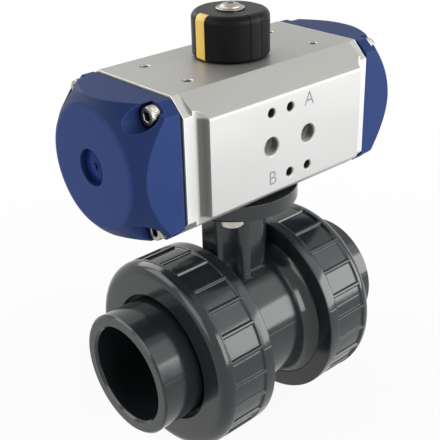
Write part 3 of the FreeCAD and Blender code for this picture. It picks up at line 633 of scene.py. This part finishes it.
def thread_wall():
    """Wall of a threaded hole along Y: its radius rises and falls along a helix."""
    t = Tree("thread wall", ("Centre", "Vector"), ("Radius", "Float"), ("Depth", "Float"),
             ("Pitch", "Float"), ("Length", "Float"))
    given = t.given.outputs
    length, pitch = given["Length"], given["Pitch"]
    sheet = t.node("GeometryNodeMeshGrid", {}, {
        "Size X": 2 * math.pi, "Size Y": length, "Vertices X": THREAD_ROUND,
        "Vertices Y": THREAD_LONG})
    place = t.node("GeometryNodeInputPosition").outputs[0]
    spot = t.node("ShaderNodeSeparateXYZ", {}, {0: place}).outputs
    deep = t.math("ADD", spot["Y"], t.math("MULTIPLY", length, 0.5))
    turns = t.math("ADD", t.math("DIVIDE", deep, pitch), t.math("DIVIDE", spot["X"], 2 * math.pi))
    wave = t.math("MULTIPLY", t.math("PINGPONG", turns, 0.5), 2.0)
    wave = t.math("SMOOTH_MIN", t.math("MULTIPLY", wave, THREAD_STEEP), 1.0, THREAD_SOFT)
    ends = t.math("MINIMUM", deep, t.math("SUBTRACT", length, deep))
    fade = t.math("DIVIDE", ends, t.math("MULTIPLY", pitch, THREAD_FADE))
    fade = t.math("MINIMUM", fade, 1.0)
    rise = t.math("MULTIPLY", t.math("MULTIPLY", wave, given["Depth"]), fade)
    radius = t.math("ADD", given["Radius"], rise)
    ring = t.node("ShaderNodeCombineXYZ", {}, {
        "X": t.math("MULTIPLY", radius, t.math("COSINE", spot["X"])), "Y": deep,
        "Z": t.math("MULTIPLY", radius, t.math("SINE", spot["X"]))})
    target = t.node("ShaderNodeVectorMath", {"operation": "ADD"},
                    {0: ring.outputs[0], 1: given["Centre"]})
    bent = t.node("GeometryNodeSetPosition", {}, {
        "Geometry": sheet.outputs["Mesh"], "Position": target.outputs[0]})
    shut = t.node("GeometryNodeMergeByDistance", {}, {
        "Geometry": bent.outputs[0], "Distance": THREAD_MERGE})
    return t.end(shut.outputs[0])


# Moulding ridges

RIDGE_HALF = 0.2 * MM
RIDGE_RISE = 0.14 * MM
RIDGE_SINK = 0.1 * MM


def parting_line(mesh, radius, turn, start, end):
    """Adds a thin moulding ridge along the pipe to a mesh, and its twin on the far side."""
    foot = 2 * RIDGE_HALF
    cross = ((-foot, -RIDGE_SINK), (-RIDGE_HALF, RIDGE_RISE), (RIDGE_HALF, RIDGE_RISE),
             (foot, -RIDGE_SINK))
    for angle in (math.radians(turn), math.radians(turn) + math.pi):
        out = Vector((0, -math.cos(angle), math.sin(angle)))
        side = X_AXIS.cross(out)
        first, last = ([mesh.verts.new(Vector((x, 0, PIPE_Z)) + out * (radius + rise) + side * w)
                        for w, rise in cross] for x in sorted((start, end)))
        for k in range(len(cross) - 1):
            mesh.faces.new((first[k], first[k + 1], last[k + 1], last[k]))
        mesh.faces.new(first[::-1])
        mesh.faces.new(last)
    return mesh


# Union nuts

NUT_SEGMENTS = 216
NUT_PARTING = 17.5
NUT_PLAY = 0.02 * MM
NUT_LIP = 7.0 * MM
NUT_SHOULDER = 6.0 * MM
NUT_RING = 6.5 * MM
NUT_RING_EDGE = 0.7 * MM
NUT_FRONT_EDGE = 0.6 * MM
NUT_BORE = 42.0 * MM
NUT_HOLE = 34.0 * MM
NUT_HOLE_EDGE = 0.5 * MM
# Fillet from the ring down to the panels, and the panels' front ends: place before the shoulder
PANEL_FOOT = 0.25 * MM
PANEL_START = 0.6 * MM
PANEL_FRONT = (1.4 * MM, 1.0 * MM, 0.8 * MM, 0.5 * MM)
PANEL_FRONT_RISE = 0.3 * MM
CREST_ROUND = 0.25 * MM
CREST_PLAY = 0.02 * MM
RIB_FLANK = 0.35 * MM
RIB_FOOT = 0.2 * MM
RIB_SINK = 0.6 * MM
RIB_FOOT_RISE = 0.05 * MM
RIDGE_GAPS = (0.8 * MM, 0.7 * MM, 1.5 * MM)


def nut_outline(sizes, front, back, rad):
    """Half outline of a nut from its inner end to its front, as (along, radius) steps."""
    low = rad - sizes.panel_depth
    edge = NUT_RING_EDGE
    ring_end = back + NUT_RING
    shoulder = front - NUT_SHOULDER
    ends = [shoulder - gap for gap in PANEL_FRONT]
    steps = [(back, NUT_BORE)]
    steps += arc((back + edge, rad - edge), edge, 180, 90)
    steps += arc((ring_end - edge, rad - edge), edge, 90, 0)
    steps += [(ring_end + PANEL_FOOT, low + PANEL_FOOT), (ring_end + PANEL_START, low)]
    steps += zip(ends, (low, low + PANEL_FRONT_RISE, rad - CREST_ROUND, rad))
    steps += arc((shoulder, rad - NUT_SHOULDER), NUT_SHOULDER, 90, 6, 12)
    steps += [(front, rad - NUT_SHOULDER - NUT_FRONT_EDGE), (front, NUT_HOLE + NUT_HOLE_EDGE),
              (front - NUT_HOLE_EDGE, NUT_HOLE), (front - NUT_LIP, NUT_HOLE),
              (front - NUT_LIP, NUT_BORE), (back, NUT_BORE)]
    return steps


def nut_rib(sizes, front, back, rad):
    """One rib with rounded sides, on the +Z side of an axis along X."""
    panel = rad - sizes.panel_depth
    half = sizes.rib_width / 2
    foot = half + RIB_FLANK
    right = [(half - CREST_ROUND, rad - CREST_PLAY), (half, rad - CREST_ROUND),
             (foot, panel + RIB_FOOT_RISE), (foot + RIB_FOOT, panel - RIB_SINK)]
    cross = [(-y, z) for y, z in reversed(right)] + right
    mesh = bmesh.new()
    rows = [[mesh.verts.new((x, y, z)) for y, z in cross]
            for x in (back + NUT_RING - NUT_RING_EDGE, front - NUT_SHOULDER)]
    for k in range(len(cross)):
        after = (k + 1) % len(cross)
        mesh.faces.new((rows[0][k], rows[0][after], rows[1][after], rows[1][k]))
    for row in rows:
        mesh.faces.new(row)
    bmesh.ops.recalc_face_normals(mesh, faces=mesh.faces)
    return mesh


class VALVE_OT_union_nuts(Operator):
    """Ribbed union nuts on both ends of the valve"""
    bl_idname = "valve.union_nuts"
    bl_label = "Union nuts"

    def execute(self, context):
        sizes = context.scene.valve_nut
        plastic = moulded_plastic("nut plastic", context.scene.valve_colours.plastic)
        tree = ring_of_parts()
        ring_gap, panel_gap, front_gap = RIDGE_GAPS
        for side, sign in (("left", -1), ("right", 1)):
            node = "union_nut_" + side
            low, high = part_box(node)
            back, front = sorted((abs(low.x), abs(high.x)))
            ring_end = back + NUT_RING
            rad = (high.z - low.z) / 2 - NUT_PLAY
            outline = nut_outline(sizes, front, back, rad)
            shell = lathe(outline, (sign, 0, 0), (0, 0, PIPE_Z), NUT_SEGMENTS)
            parting_line(shell, rad, NUT_PARTING, sign * (back + ring_gap),
                         sign * (ring_end - ring_gap))
            parting_line(shell, rad - sizes.panel_depth, NUT_PARTING,
                         sign * (ring_end + panel_gap), sign * (front - NUT_SHOULDER - front_gap))
            shell = scrap("nut shell", shell)
            rib = nut_rib(sizes, front, back, rad)
            if sign < 0:
                bmesh.ops.rotate(rib, verts=rib.verts, matrix=Matrix.Rotation(math.pi, 3, "Z"))
            rib = scrap("nut rib", rib)
            start = sizes.first_rib + math.pi / 2
            grow(shell, tree, Part=rib, Count=sizes.rib_count, Centre=(0, 0, PIPE_Z),
                 Axis=(1, 0, 0), Start=-sign * start, Finish=plastic)
            piece(node + ".ribbed", shell, plastic, side + "_nut", "pvc", (node,))
            bpy.data.objects.remove(rib)
        return {"FINISHED"}


# Moulded valve body, neck and end connectors

BARREL_RAD = 36.8 * MM
BARREL_PARTING = 14.8
FLARE_LONG = 8.0 * MM
SOCKET_RAD = 32.0 * MM
SOCKET_PARTING = 17.3
SOCKET_EDGE = 1.2 * MM
SOCKET_HIDDEN = 5 * MM


class VALVE_OT_moulded_body(Operator):
    """Moulded valve body, mounting neck and end connectors"""
    bl_idname = "valve.moulded_body"
    bl_label = "Valve body and connectors"

    def execute(self, context):
        colour = context.scene.valve_colours.plastic
        plastic = moulded_plastic("valve plastic", colour)
        repaint(plastic, "valve_body", "mounting_neck", *both("end_connector"))
        back, front = (corner.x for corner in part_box("union_nut_right"))
        waist = back - FLARE_LONG
        line = parting_line(bmesh.new(), BARREL_RAD, BARREL_PARTING, -waist, waist)
        piece("body_parting_line", line, plastic, "casing", "pvc")
        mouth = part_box("end_connector_right")[1].x - SOCKET_EDGE
        for side, sign in (("left", -1), ("right", 1)):
            line = parting_line(bmesh.new(), SOCKET_RAD, SOCKET_PARTING,
                                sign * (front - SOCKET_HIDDEN), sign * mouth)
            piece("connector_parting_line_" + side, line, plastic, "casing", "pvc")
        repaint(moulded_plastic("ball plastic", shade(colour, 0.9), 0.16), "ball", "seal_carrier")
        return {"FINISHED"}


# Actuator housing with its threaded ports and letters

PORT_RAD = 4.3 * MM
PORT_PITCH = 24 * MM
PORT_CHAMFER = 0.55 * MM
PORT_DEPTH = 7.5 * MM
PORT_PLAY = 0.12 * MM
PORT_END_PLAY = 0.01 * MM
LETTER_INK = (0.16, 0.16, 0.16)
LETTER_THICK = 0.02 * MM
LETTER_SINK = 0.01 * MM
CAP_HEIGHT = 0.72
LETTER_THIN = 0.012
LETTERS = (("A", 12.3 * MM, 16.8 * MM), ("B", -11.4 * MM, -15.9 * MM))


def on_port_wall(face, x, front, back):
    """Whether a face belongs to the plain wall of the port at x."""
    def touches(place):
        reach = math.hypot(place.x - x, place.z - ACT_Z)
        inside = front - PORT_END_PLAY < place.y < back + PORT_END_PLAY
        return inside and abs(reach - PORT_RAD) < PORT_PLAY
    return abs(face.normal.y) < 0.1 and all(touches(v.co) for v in face.verts)


class VALVE_OT_housing(Operator):
    """Anodised actuator housing with its threaded air ports"""
    bl_idname = "valve.housing"
    bl_label = "Actuator housing"

    def execute(self, context):
        sizes = context.scene.valve_port
        metal = blasted_anodised("blasted aluminium", context.scene.valve_colours.housing)
        mesh = cad_copy("actuator_body")
        front, back = BODY_LOW.y + PORT_CHAMFER, BODY_LOW.y + PORT_DEPTH
        ports = (("b", -PORT_PITCH / 2), ("a", PORT_PITCH / 2))
        walls = [face for face in mesh.faces
                 if any(on_port_wall(face, x, front, back) for _, x in ports)]
        bmesh.ops.delete(mesh, geom=walls, context="FACES")
        piece("actuator_housing", mesh, metal, "casing", "anodised_aluminium", ("actuator_body",))
        tree = thread_wall()
        for letter, x in ports:
            tool = grow(scrap("thread", bmesh.new()), tree, Centre=(x, front, ACT_Z),
                        Radius=PORT_RAD, Depth=sizes.thread_depth, Pitch=sizes.thread_pitch,
                        Length=back - front, Finish=metal)
            piece("port_thread_" + letter, tool, metal, "casing", "anodised_aluminium")
        return {"FINISHED"}


class VALVE_OT_port_letters(Operator):
    """Port letters on the actuator's face"""
    bl_idname = "valve.port_letters"
    bl_label = "Port letters"

    def execute(self, context):
        height = context.scene.valve_port.letter_height
        ink = printed_ink("letter ink", LETTER_INK)
        for letter, x, z in LETTERS:
            text = bpy.data.curves.new("letter", "FONT")
            text.body = letter
            text.align_x = "CENTER"
            text.align_y = "CENTER"
            text.size = height / CAP_HEIGHT
            text.offset = -LETTER_THIN * height
            text.extrude = LETTER_THICK
            tool = bpy.data.objects.new("letter", text)
            context.scene.collection.objects.link(tool)
            graph = context.evaluated_depsgraph_get()
            shape = bpy.data.meshes.new_from_object(tool.evaluated_get(graph))
            flat = bmesh.new()
            flat.from_mesh(shape)
            bpy.data.objects.remove(tool)
            bpy.data.meshes.remove(shape)
            place = Matrix.Translation((x, BODY_LOW.y - LETTER_SINK, ACT_Z + z))
            upright = Matrix.Rotation(math.pi / 2, 4, "X")
            bmesh.ops.transform(flat, matrix=place @ upright, verts=flat.verts)
            piece("port_letter_" + letter.lower(), flat, ink, "casing", "anodised_aluminium")
        return {"FINISHED"}


# End caps, gaskets and plugs

# Near-black gasket rubber, darkened past plain rubber as painted shade for the gap between cap and
# housing.
GASKET_COLOUR = (0.006, 0.008, 0.018)
PLUG_COLOUR = (0.008, 0.024, 0.15)


class VALVE_OT_end_caps(Operator):
    """Coated end caps with their gaskets and travel-stop plugs"""
    bl_idname = "valve.end_caps"
    bl_label = "End caps"

    def execute(self, context):
        colours = context.scene.valve_colours
        repaint(satin_coating("cap coating", colours.caps), *both("end_cap"))
        repaint(soft_rubber("gasket rubber", GASKET_COLOUR), *both("cap_gasket"))
        repaint(gloss_plastic("plug plastic", PLUG_COLOUR, shine=0.06), *both("cap_plug"))
        return {"FINISHED"}


# Cap screws

HEAD_LONG = 5.0 * MM
HEAD_EDGE = 0.35 * MM
HEAD_FOOT = 0.3 * MM
HEX_DEEP = 2.5 * MM
HEX_TIP = 0.5 * MM
HEX_MOUTH = 0.25 * MM
SHANK_RAD = 2.5 * MM
SHANK_LONG = 6.2 * MM
SCREW_SEGMENTS = 72
# Knurl: depth of the valleys, foot and crest, width of foot and crest, and its rows with their drop
KNURL_SINK = 0.16 * MM
KNURL_FOOT = 0.2 * MM
KNURL_PLAY = 0.02 * MM
KNURL_WIDE = 0.62
KNURL_CREST = 0.35
KNURL_ROWS = ((0.75 * MM, 0.14 * MM), (1.05 * MM, 0), (HEAD_LONG - 0.75 * MM, 0),
              (HEAD_LONG - 0.45 * MM, 0.14 * MM))


def socket_head(sizes):
    """Head of a socket screw, facing -X, seated at the origin, with a short shank."""
    rad = sizes.head_radius - KNURL_SINK
    key = hexagon(sizes.hex_flat)
    mouth = hexagon(sizes.hex_flat + 2 * HEX_MOUTH)
    floor = -HEAD_LONG + HEX_DEEP
    steps = [(floor + HEX_TIP, 0), (floor, key), (-HEAD_LONG + HEX_MOUTH, key),
             (-HEAD_LONG, mouth)]
    steps += arc((-HEAD_LONG + HEAD_EDGE, rad - HEAD_EDGE), HEAD_EDGE, 180, 90, 5)
    steps += [(-HEAD_FOOT, rad), (0, rad - HEAD_FOOT), (0, SHANK_RAD), (SHANK_LONG, SHANK_RAD),
              (SHANK_LONG, 0)]
    return lathe(steps, X_AXIS, (0, 0, 0), SCREW_SEGMENTS)


def knurl(sizes):
    """One rounded ridge along a screw's head, on the +Z side of the X axis."""
    mesh = bmesh.new()
    rad = sizes.head_radius
    half = math.pi * rad / sizes.knurls * KNURL_WIDE
    crest = half * KNURL_CREST
    cross = [(-half, rad - KNURL_FOOT), (-crest, rad - KNURL_PLAY), (crest, rad - KNURL_PLAY),
             (half, rad - KNURL_FOOT)]
    rows = [[mesh.verts.new((reach - HEAD_LONG, y, z - drop)) for y, z in cross]
            for reach, drop in KNURL_ROWS]
    for low, high in zip(rows, rows[1:]):
        for k in range(len(cross) - 1):
            mesh.faces.new((low[k], low[k + 1], high[k + 1], high[k]))
    bmesh.ops.recalc_face_normals(mesh, faces=mesh.faces)
    for face in mesh.faces:
        if face.normal.z < 0:
            face.normal_flip()
    return mesh


class VALVE_OT_cap_screws(Operator):
    """Knurled socket screws in the pockets of the end caps"""
    bl_idname = "valve.cap_screws"
    bl_label = "Cap screws"

    def execute(self, context):
        sizes = context.scene.valve_screw
        steel = turned_steel("screw steel")
        ridge = scrap("knurl", knurl(sizes))
        head = grow(scrap("head", socket_head(sizes)), ring_of_parts(), Part=ridge,
                    Count=sizes.knurls, Centre=(0, 0, 0), Axis=(1, 0, 0), Start=0.0, Finish=steel)
        places = parts_at_places()
        for side, sign in (("left", -1), ("right", 1)):
            node = "cap_screws_" + side
            low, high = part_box(node)
            seat = sign * (max(abs(low.x), abs(high.x)) - HEAD_LONG)
            half_y = high.y - sizes.head_radius
            half_z = (high.z - low.z) / 2 - sizes.head_radius
            spots = bmesh.new()
            for i in (-1, 1):
                for j in (-1, 1):
                    spots.verts.new((seat, i * half_y, ACT_Z + j * half_z))
            tool = grow(scrap("screw places", spots), places, Part=head,
                        Turn=math.pi if sign > 0 else 0.0, Finish=steel)
            piece(node + ".knurled", tool, steel, "casing", "steel", (node,))
        bpy.data.objects.remove(head)
        bpy.data.objects.remove(ridge)
        return {"FINISHED"}


# Flange bolts

BOLT_COLOUR = (0.56, 0.53, 0.47)


class VALVE_OT_flange_bolts(Operator):
    """Hexagon bolts under the mounting flange"""
    bl_idname = "valve.flange_bolts"
    bl_label = "Flange bolts"

    def execute(self, context):
        repaint(turned_steel("bolt steel", BOLT_COLOUR, 0.24), "flange_bolts")
        return {"FINISHED"}


# Indicator

YELLOW_GAP = 0.12 * MM
BLACK_GAP = 0.28 * MM
BLACK = (0.007, 0.007, 0.007)
DOME_COLOUR = (0.36, 0.34, 0.31)
DOME_FLANGE = 0.8 * MM
DOME_FLANGE_EDGE = 0.3 * MM
DOME_FILLET = 0.25 * MM
DOME_START = 0.2 * MM
DOME_RISE = 1.9 * MM
DOME_RAD = 4.9 * MM
DOME_STEPS = 9
DOME_FLATTEN = 0.86
DOME_KEY = 3.6 * MM
DOME_KEY_MOUTH = 0.3 * MM
DOME_KEY_LIP = 0.02 * MM
DOME_KEY_DEEP = 1.8 * MM
DOME_KEY_TIP = 2.2 * MM


def marker(node, out, gap):
    """The inserts of a node with a gap to the knob: out is the axis that they face along."""
    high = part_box(node)[1]
    mesh = cad_copy(node)
    reach = [abs(v.co[out]) for v in mesh.verts]
    inner, outer = min(reach), max(reach)
    across = 1 - out
    slim = 1 - gap / high[across]
    for v in mesh.verts:
        v.co[across] *= slim
        part = (outer - abs(v.co[out])) / (outer - inner)
        v.co[out] += math.copysign(gap * part, v.co[out])
    return mesh


def dome_screw():
    """Flanged dome screw: its thread down in the shaft, its head low on the knob."""
    low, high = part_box("indicator_screw")
    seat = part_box("indicator_knob")[1].z
    rad = high.x
    flange, top = seat + DOME_FLANGE, seat + DOME_FLANGE + DOME_RISE
    start = flange + DOME_START
    steps = [(low.z, 0), (low.z, SHANK_RAD), (seat, SHANK_RAD), (seat, rad - DOME_FILLET),
             (seat + DOME_FILLET, rad), (flange - DOME_START, rad),
             (flange, rad - DOME_FLANGE_EDGE), (flange, DOME_RAD + DOME_FILLET),
             (start, DOME_RAD)]
    for k in range(1, DOME_STEPS - 1):
        turn = math.pi / 2 * k / DOME_STEPS
        steps.append((start + (DOME_RISE - DOME_START) * math.sin(turn),
                      DOME_RAD * math.cos(turn * DOME_FLATTEN)))
    mouth, key = hexagon(DOME_KEY + DOME_KEY_MOUTH), hexagon(DOME_KEY)
    steps += [(top - DOME_KEY_LIP, mouth), (top - DOME_KEY_MOUTH, key),
              (top - DOME_KEY_DEEP, key), (top - DOME_KEY_TIP, 0)]
    return lathe(steps, Z_AXIS, (0, 0, 0), SCREW_SEGMENTS)


class VALVE_OT_indicator(Operator):
    """Position indicator: knob, markers and its screw"""
    bl_idname = "valve.indicator"
    bl_label = "Position indicator"

    def execute(self, context):
        colours = context.scene.valve_colours
        repaint(gloss_plastic("knob plastic", colours.knob, 0.32, 0.1), "indicator_knob")
        yellow = gloss_plastic("marker yellow", colours.marker, 0.3)
        black = gloss_plastic("marker black", BLACK, 0.3, 0.1)
        for node, out, gap, finish, slot in (
                ("open_markers", 0, YELLOW_GAP, yellow, "marker_yellow"),
                ("closed_markers", 1, BLACK_GAP, black, "marker_black")):
            piece(node + ".inset", marker(node, out, gap), finish, "rotor", slot, (node,))
        steel = turned_steel("dome screw steel", DOME_COLOUR, 0.28)
        piece("indicator_screw.domed", dome_screw(), steel, "rotor", "steel", ("indicator_screw",))
        return {"FINISHED"}


# Parts inside

SEAL_COLOUR = (0.01, 0.01, 0.011)
SEAT_COLOUR = (0.80, 0.80, 0.77)
BEARING_COLOUR = (0.72, 0.70, 0.62)
SHAFT_COLOUR = (0.58, 0.57, 0.55)
PISTON_COLOUR = (0.55, 0.55, 0.56)


class VALVE_OT_inner_parts(Operator):
    """Seals, seats, stem, pinion and pistons inside the valve and the actuator"""
    bl_idname = "valve.inner_parts"
    bl_label = "Inner parts"

    def execute(self, context):
        repaint(soft_rubber("seal rubber", SEAL_COLOUR), "carrier_seal", "stem_seals",
                "pinion_seals", *both("connector_seal"), *both("seat_backing_seal"),
                *both("piston_seal"))
        repaint(smooth_polymer("seat white", SEAT_COLOUR), *both("ball_seat"))
        repaint(smooth_polymer("bearing white", BEARING_COLOUR), *both("piston_guide"),
                *both("rack_pad"), "pinion_bearing_lower", "pinion_bearing_upper", "thrust_washer")
        repaint(turned_steel("shaft steel", SHAFT_COLOUR, 0.3), "stem", "pinion", "retaining_ring")
        repaint(cast_metal("piston metal", PISTON_COLOUR), *both("piston"))
        return {"FINISHED"}


# Stage

VIEW_FROM = Vector((-0.27455, -0.29896, 0.31786))
VIEW_YAW = 41.524
VIEW_PITCH = 27.041
VIEW_ROLL = -1.554
LENS = 72.067
SENSOR = 36
FLOOR_HALF = 6.0
FLOOR_DROP = 0.05 * MM
FLOOR_CLOTH = (0.86, 0.86, 0.86)
SHADOW_REACH = 0.45
SHADOW_SHARE = 0.09
SKY_LIGHT = 0.04
LAMP_SIZE = 1.05
LAMP_AIM = (0, 0, 0.12)
LAMPS = (("right", (1.26, -1.26, 0.39), 22.5), ("high right", (1.02, -1.02, 1.20), 4.3),
         ("front", (0.09, -1.725, 0.63), 21.4), ("left", (-1.695, 0.0, 0.705), 9.0),
         ("back left", (-1.095, 1.095, 1.05), 10.1), ("back", (0.0, 1.545, 1.05), 11.9))


def white_floor():
    """Pale floor that the camera and the gloss see as white, with the object's shadow kept."""
    p = new_paint("white floor")
    reach = p.node("ShaderNodeVectorMath", {"operation": "LENGTH"}, {0: p.place}, output="Value")
    near = p.steps(reach / SHADOW_REACH, (0.0, 1.0), (1.0, 0.0))
    cloth = p.node("ShaderNodeBsdfDiffuse", {}, {"Color": FLOOR_CLOTH})
    glow = p.node("ShaderNodeEmission", {}, {"Color": WHITE, "Strength": 1.0})
    share = p.seen_straight() * (1 - near * SHADOW_SHARE)
    return p.close(p.node("ShaderNodeMixShader", {}, {0: share, 1: cloth, 2: glow}))


def white_surroundings():
    """Even grey light from all round that the camera and the gloss see as white."""
    p = Paint(bpy.data.worlds.new("studio"))
    light = p.node("ShaderNodeBackground", {}, {"Color": WHITE, "Strength": SKY_LIGHT})
    plain = p.node("ShaderNodeBackground", {}, {"Color": WHITE, "Strength": 1.0})
    sky = p.node("ShaderNodeMixShader", {}, {0: p.seen_straight(), 1: light, 2: plain})
    return p.close(sky, "ShaderNodeOutputWorld")


def soft_lamp(name, place, power):
    """Square lamp that looks at the object."""
    data = bpy.data.lights.new(name, "AREA")
    data.shape = "RECTANGLE"
    data.size = data.size_y = LAMP_SIZE
    data.energy = power
    lamp = bpy.data.objects.new(name, data)
    lamp.location = place
    lamp.rotation_mode = "QUATERNION"
    lamp.rotation_quaternion = (Vector(LAMP_AIM) - Vector(place)).to_track_quat("-Z", "Y")
    bpy.context.scene.collection.objects.link(lamp)


def studio_camera():
    """Camera at the photograph's viewing angle."""
    yaw, pitch, roll = (math.radians(v) for v in (VIEW_YAW, VIEW_PITCH, VIEW_ROLL))
    level = Vector((-math.sin(yaw), -math.cos(yaw), 0))
    back = level * math.cos(pitch) + Z_AXIS * math.sin(pitch)
    right = Z_AXIS.cross(back).normalized()
    up = back.cross(right)
    across = right * math.cos(roll) + up * math.sin(roll)
    over = up * math.cos(roll) - right * math.sin(roll)
    data = bpy.data.cameras.new("studio camera")
    data.lens = LENS
    data.sensor_width = SENSOR
    camera = bpy.data.objects.new("studio camera", data)
    turn = Matrix((across, over, back)).transposed().to_4x4()
    camera.matrix_world = Matrix.Translation(VIEW_FROM) @ turn
    bpy.context.scene.collection.objects.link(camera)
    bpy.context.scene.camera = camera


class VALVE_OT_stage(Operator):
    """White floor, soft lamps and the camera"""
    bl_idname = "valve.stage"
    bl_label = "Stage"

    def execute(self, context):
        floor = bmesh.new()
        corners = ((-1, -1), (1, -1), (1, 1), (-1, 1))
        floor.faces.new([floor.verts.new((x * FLOOR_HALF, y * FLOOR_HALF, -FLOOR_DROP))
                         for x, y in corners])
        ground = scrap("floor", floor)
        ground.data.materials.append(white_floor())
        context.scene.world = white_surroundings()
        for lamp in LAMPS:
            soft_lamp(*lamp)
        studio_camera()
        context.scene.view_settings.view_transform = "Standard"
        return {"FINISHED"}


# The add-on

class VALVE_PT_build(Panel):
    """Buttons for the pieces, in the order in which they are made"""
    bl_idname = "VALVE_PT_build"
    bl_label = "Pneumatic ball valve"
    bl_space_type = "VIEW_3D"
    bl_region_type = "UI"
    bl_category = "Valve"

    def draw(self, context):
        for maker in OPERATORS:
            self.layout.operator(maker.bl_idname)
        for name, kind in GROUPS.items():
            for size in kind.__annotations__:
                self.layout.prop(getattr(context.scene, name), size)


GROUPS = {"valve_nut": NutSizes, "valve_port": PortSizes, "valve_screw": ScrewSizes,
          "valve_colours": FinishColours}
OPERATORS = (VALVE_OT_moulded_body, VALVE_OT_union_nuts, VALVE_OT_housing, VALVE_OT_port_letters,
             VALVE_OT_end_caps, VALVE_OT_cap_screws, VALVE_OT_flange_bolts, VALVE_OT_indicator,
             VALVE_OT_inner_parts, VALVE_OT_stage)


def register():
    for kind in (*GROUPS.values(), *OPERATORS, VALVE_PT_build):
        bpy.utils.register_class(kind)
    for name, kind in GROUPS.items():
        setattr(bpy.types.Scene, name, PointerProperty(type=kind))


def unregister():
    for name in GROUPS:
        delattr(bpy.types.Scene, name)
    for kind in reversed((*GROUPS.values(), *OPERATORS, VALVE_PT_build)):
        bpy.utils.unregister_class(kind)


def main():
    register()
    for maker in OPERATORS:
        group, name = maker.bl_idname.split(".")
        getattr(getattr(bpy.ops, group), name)()


if __name__ == "__main__":
    main()
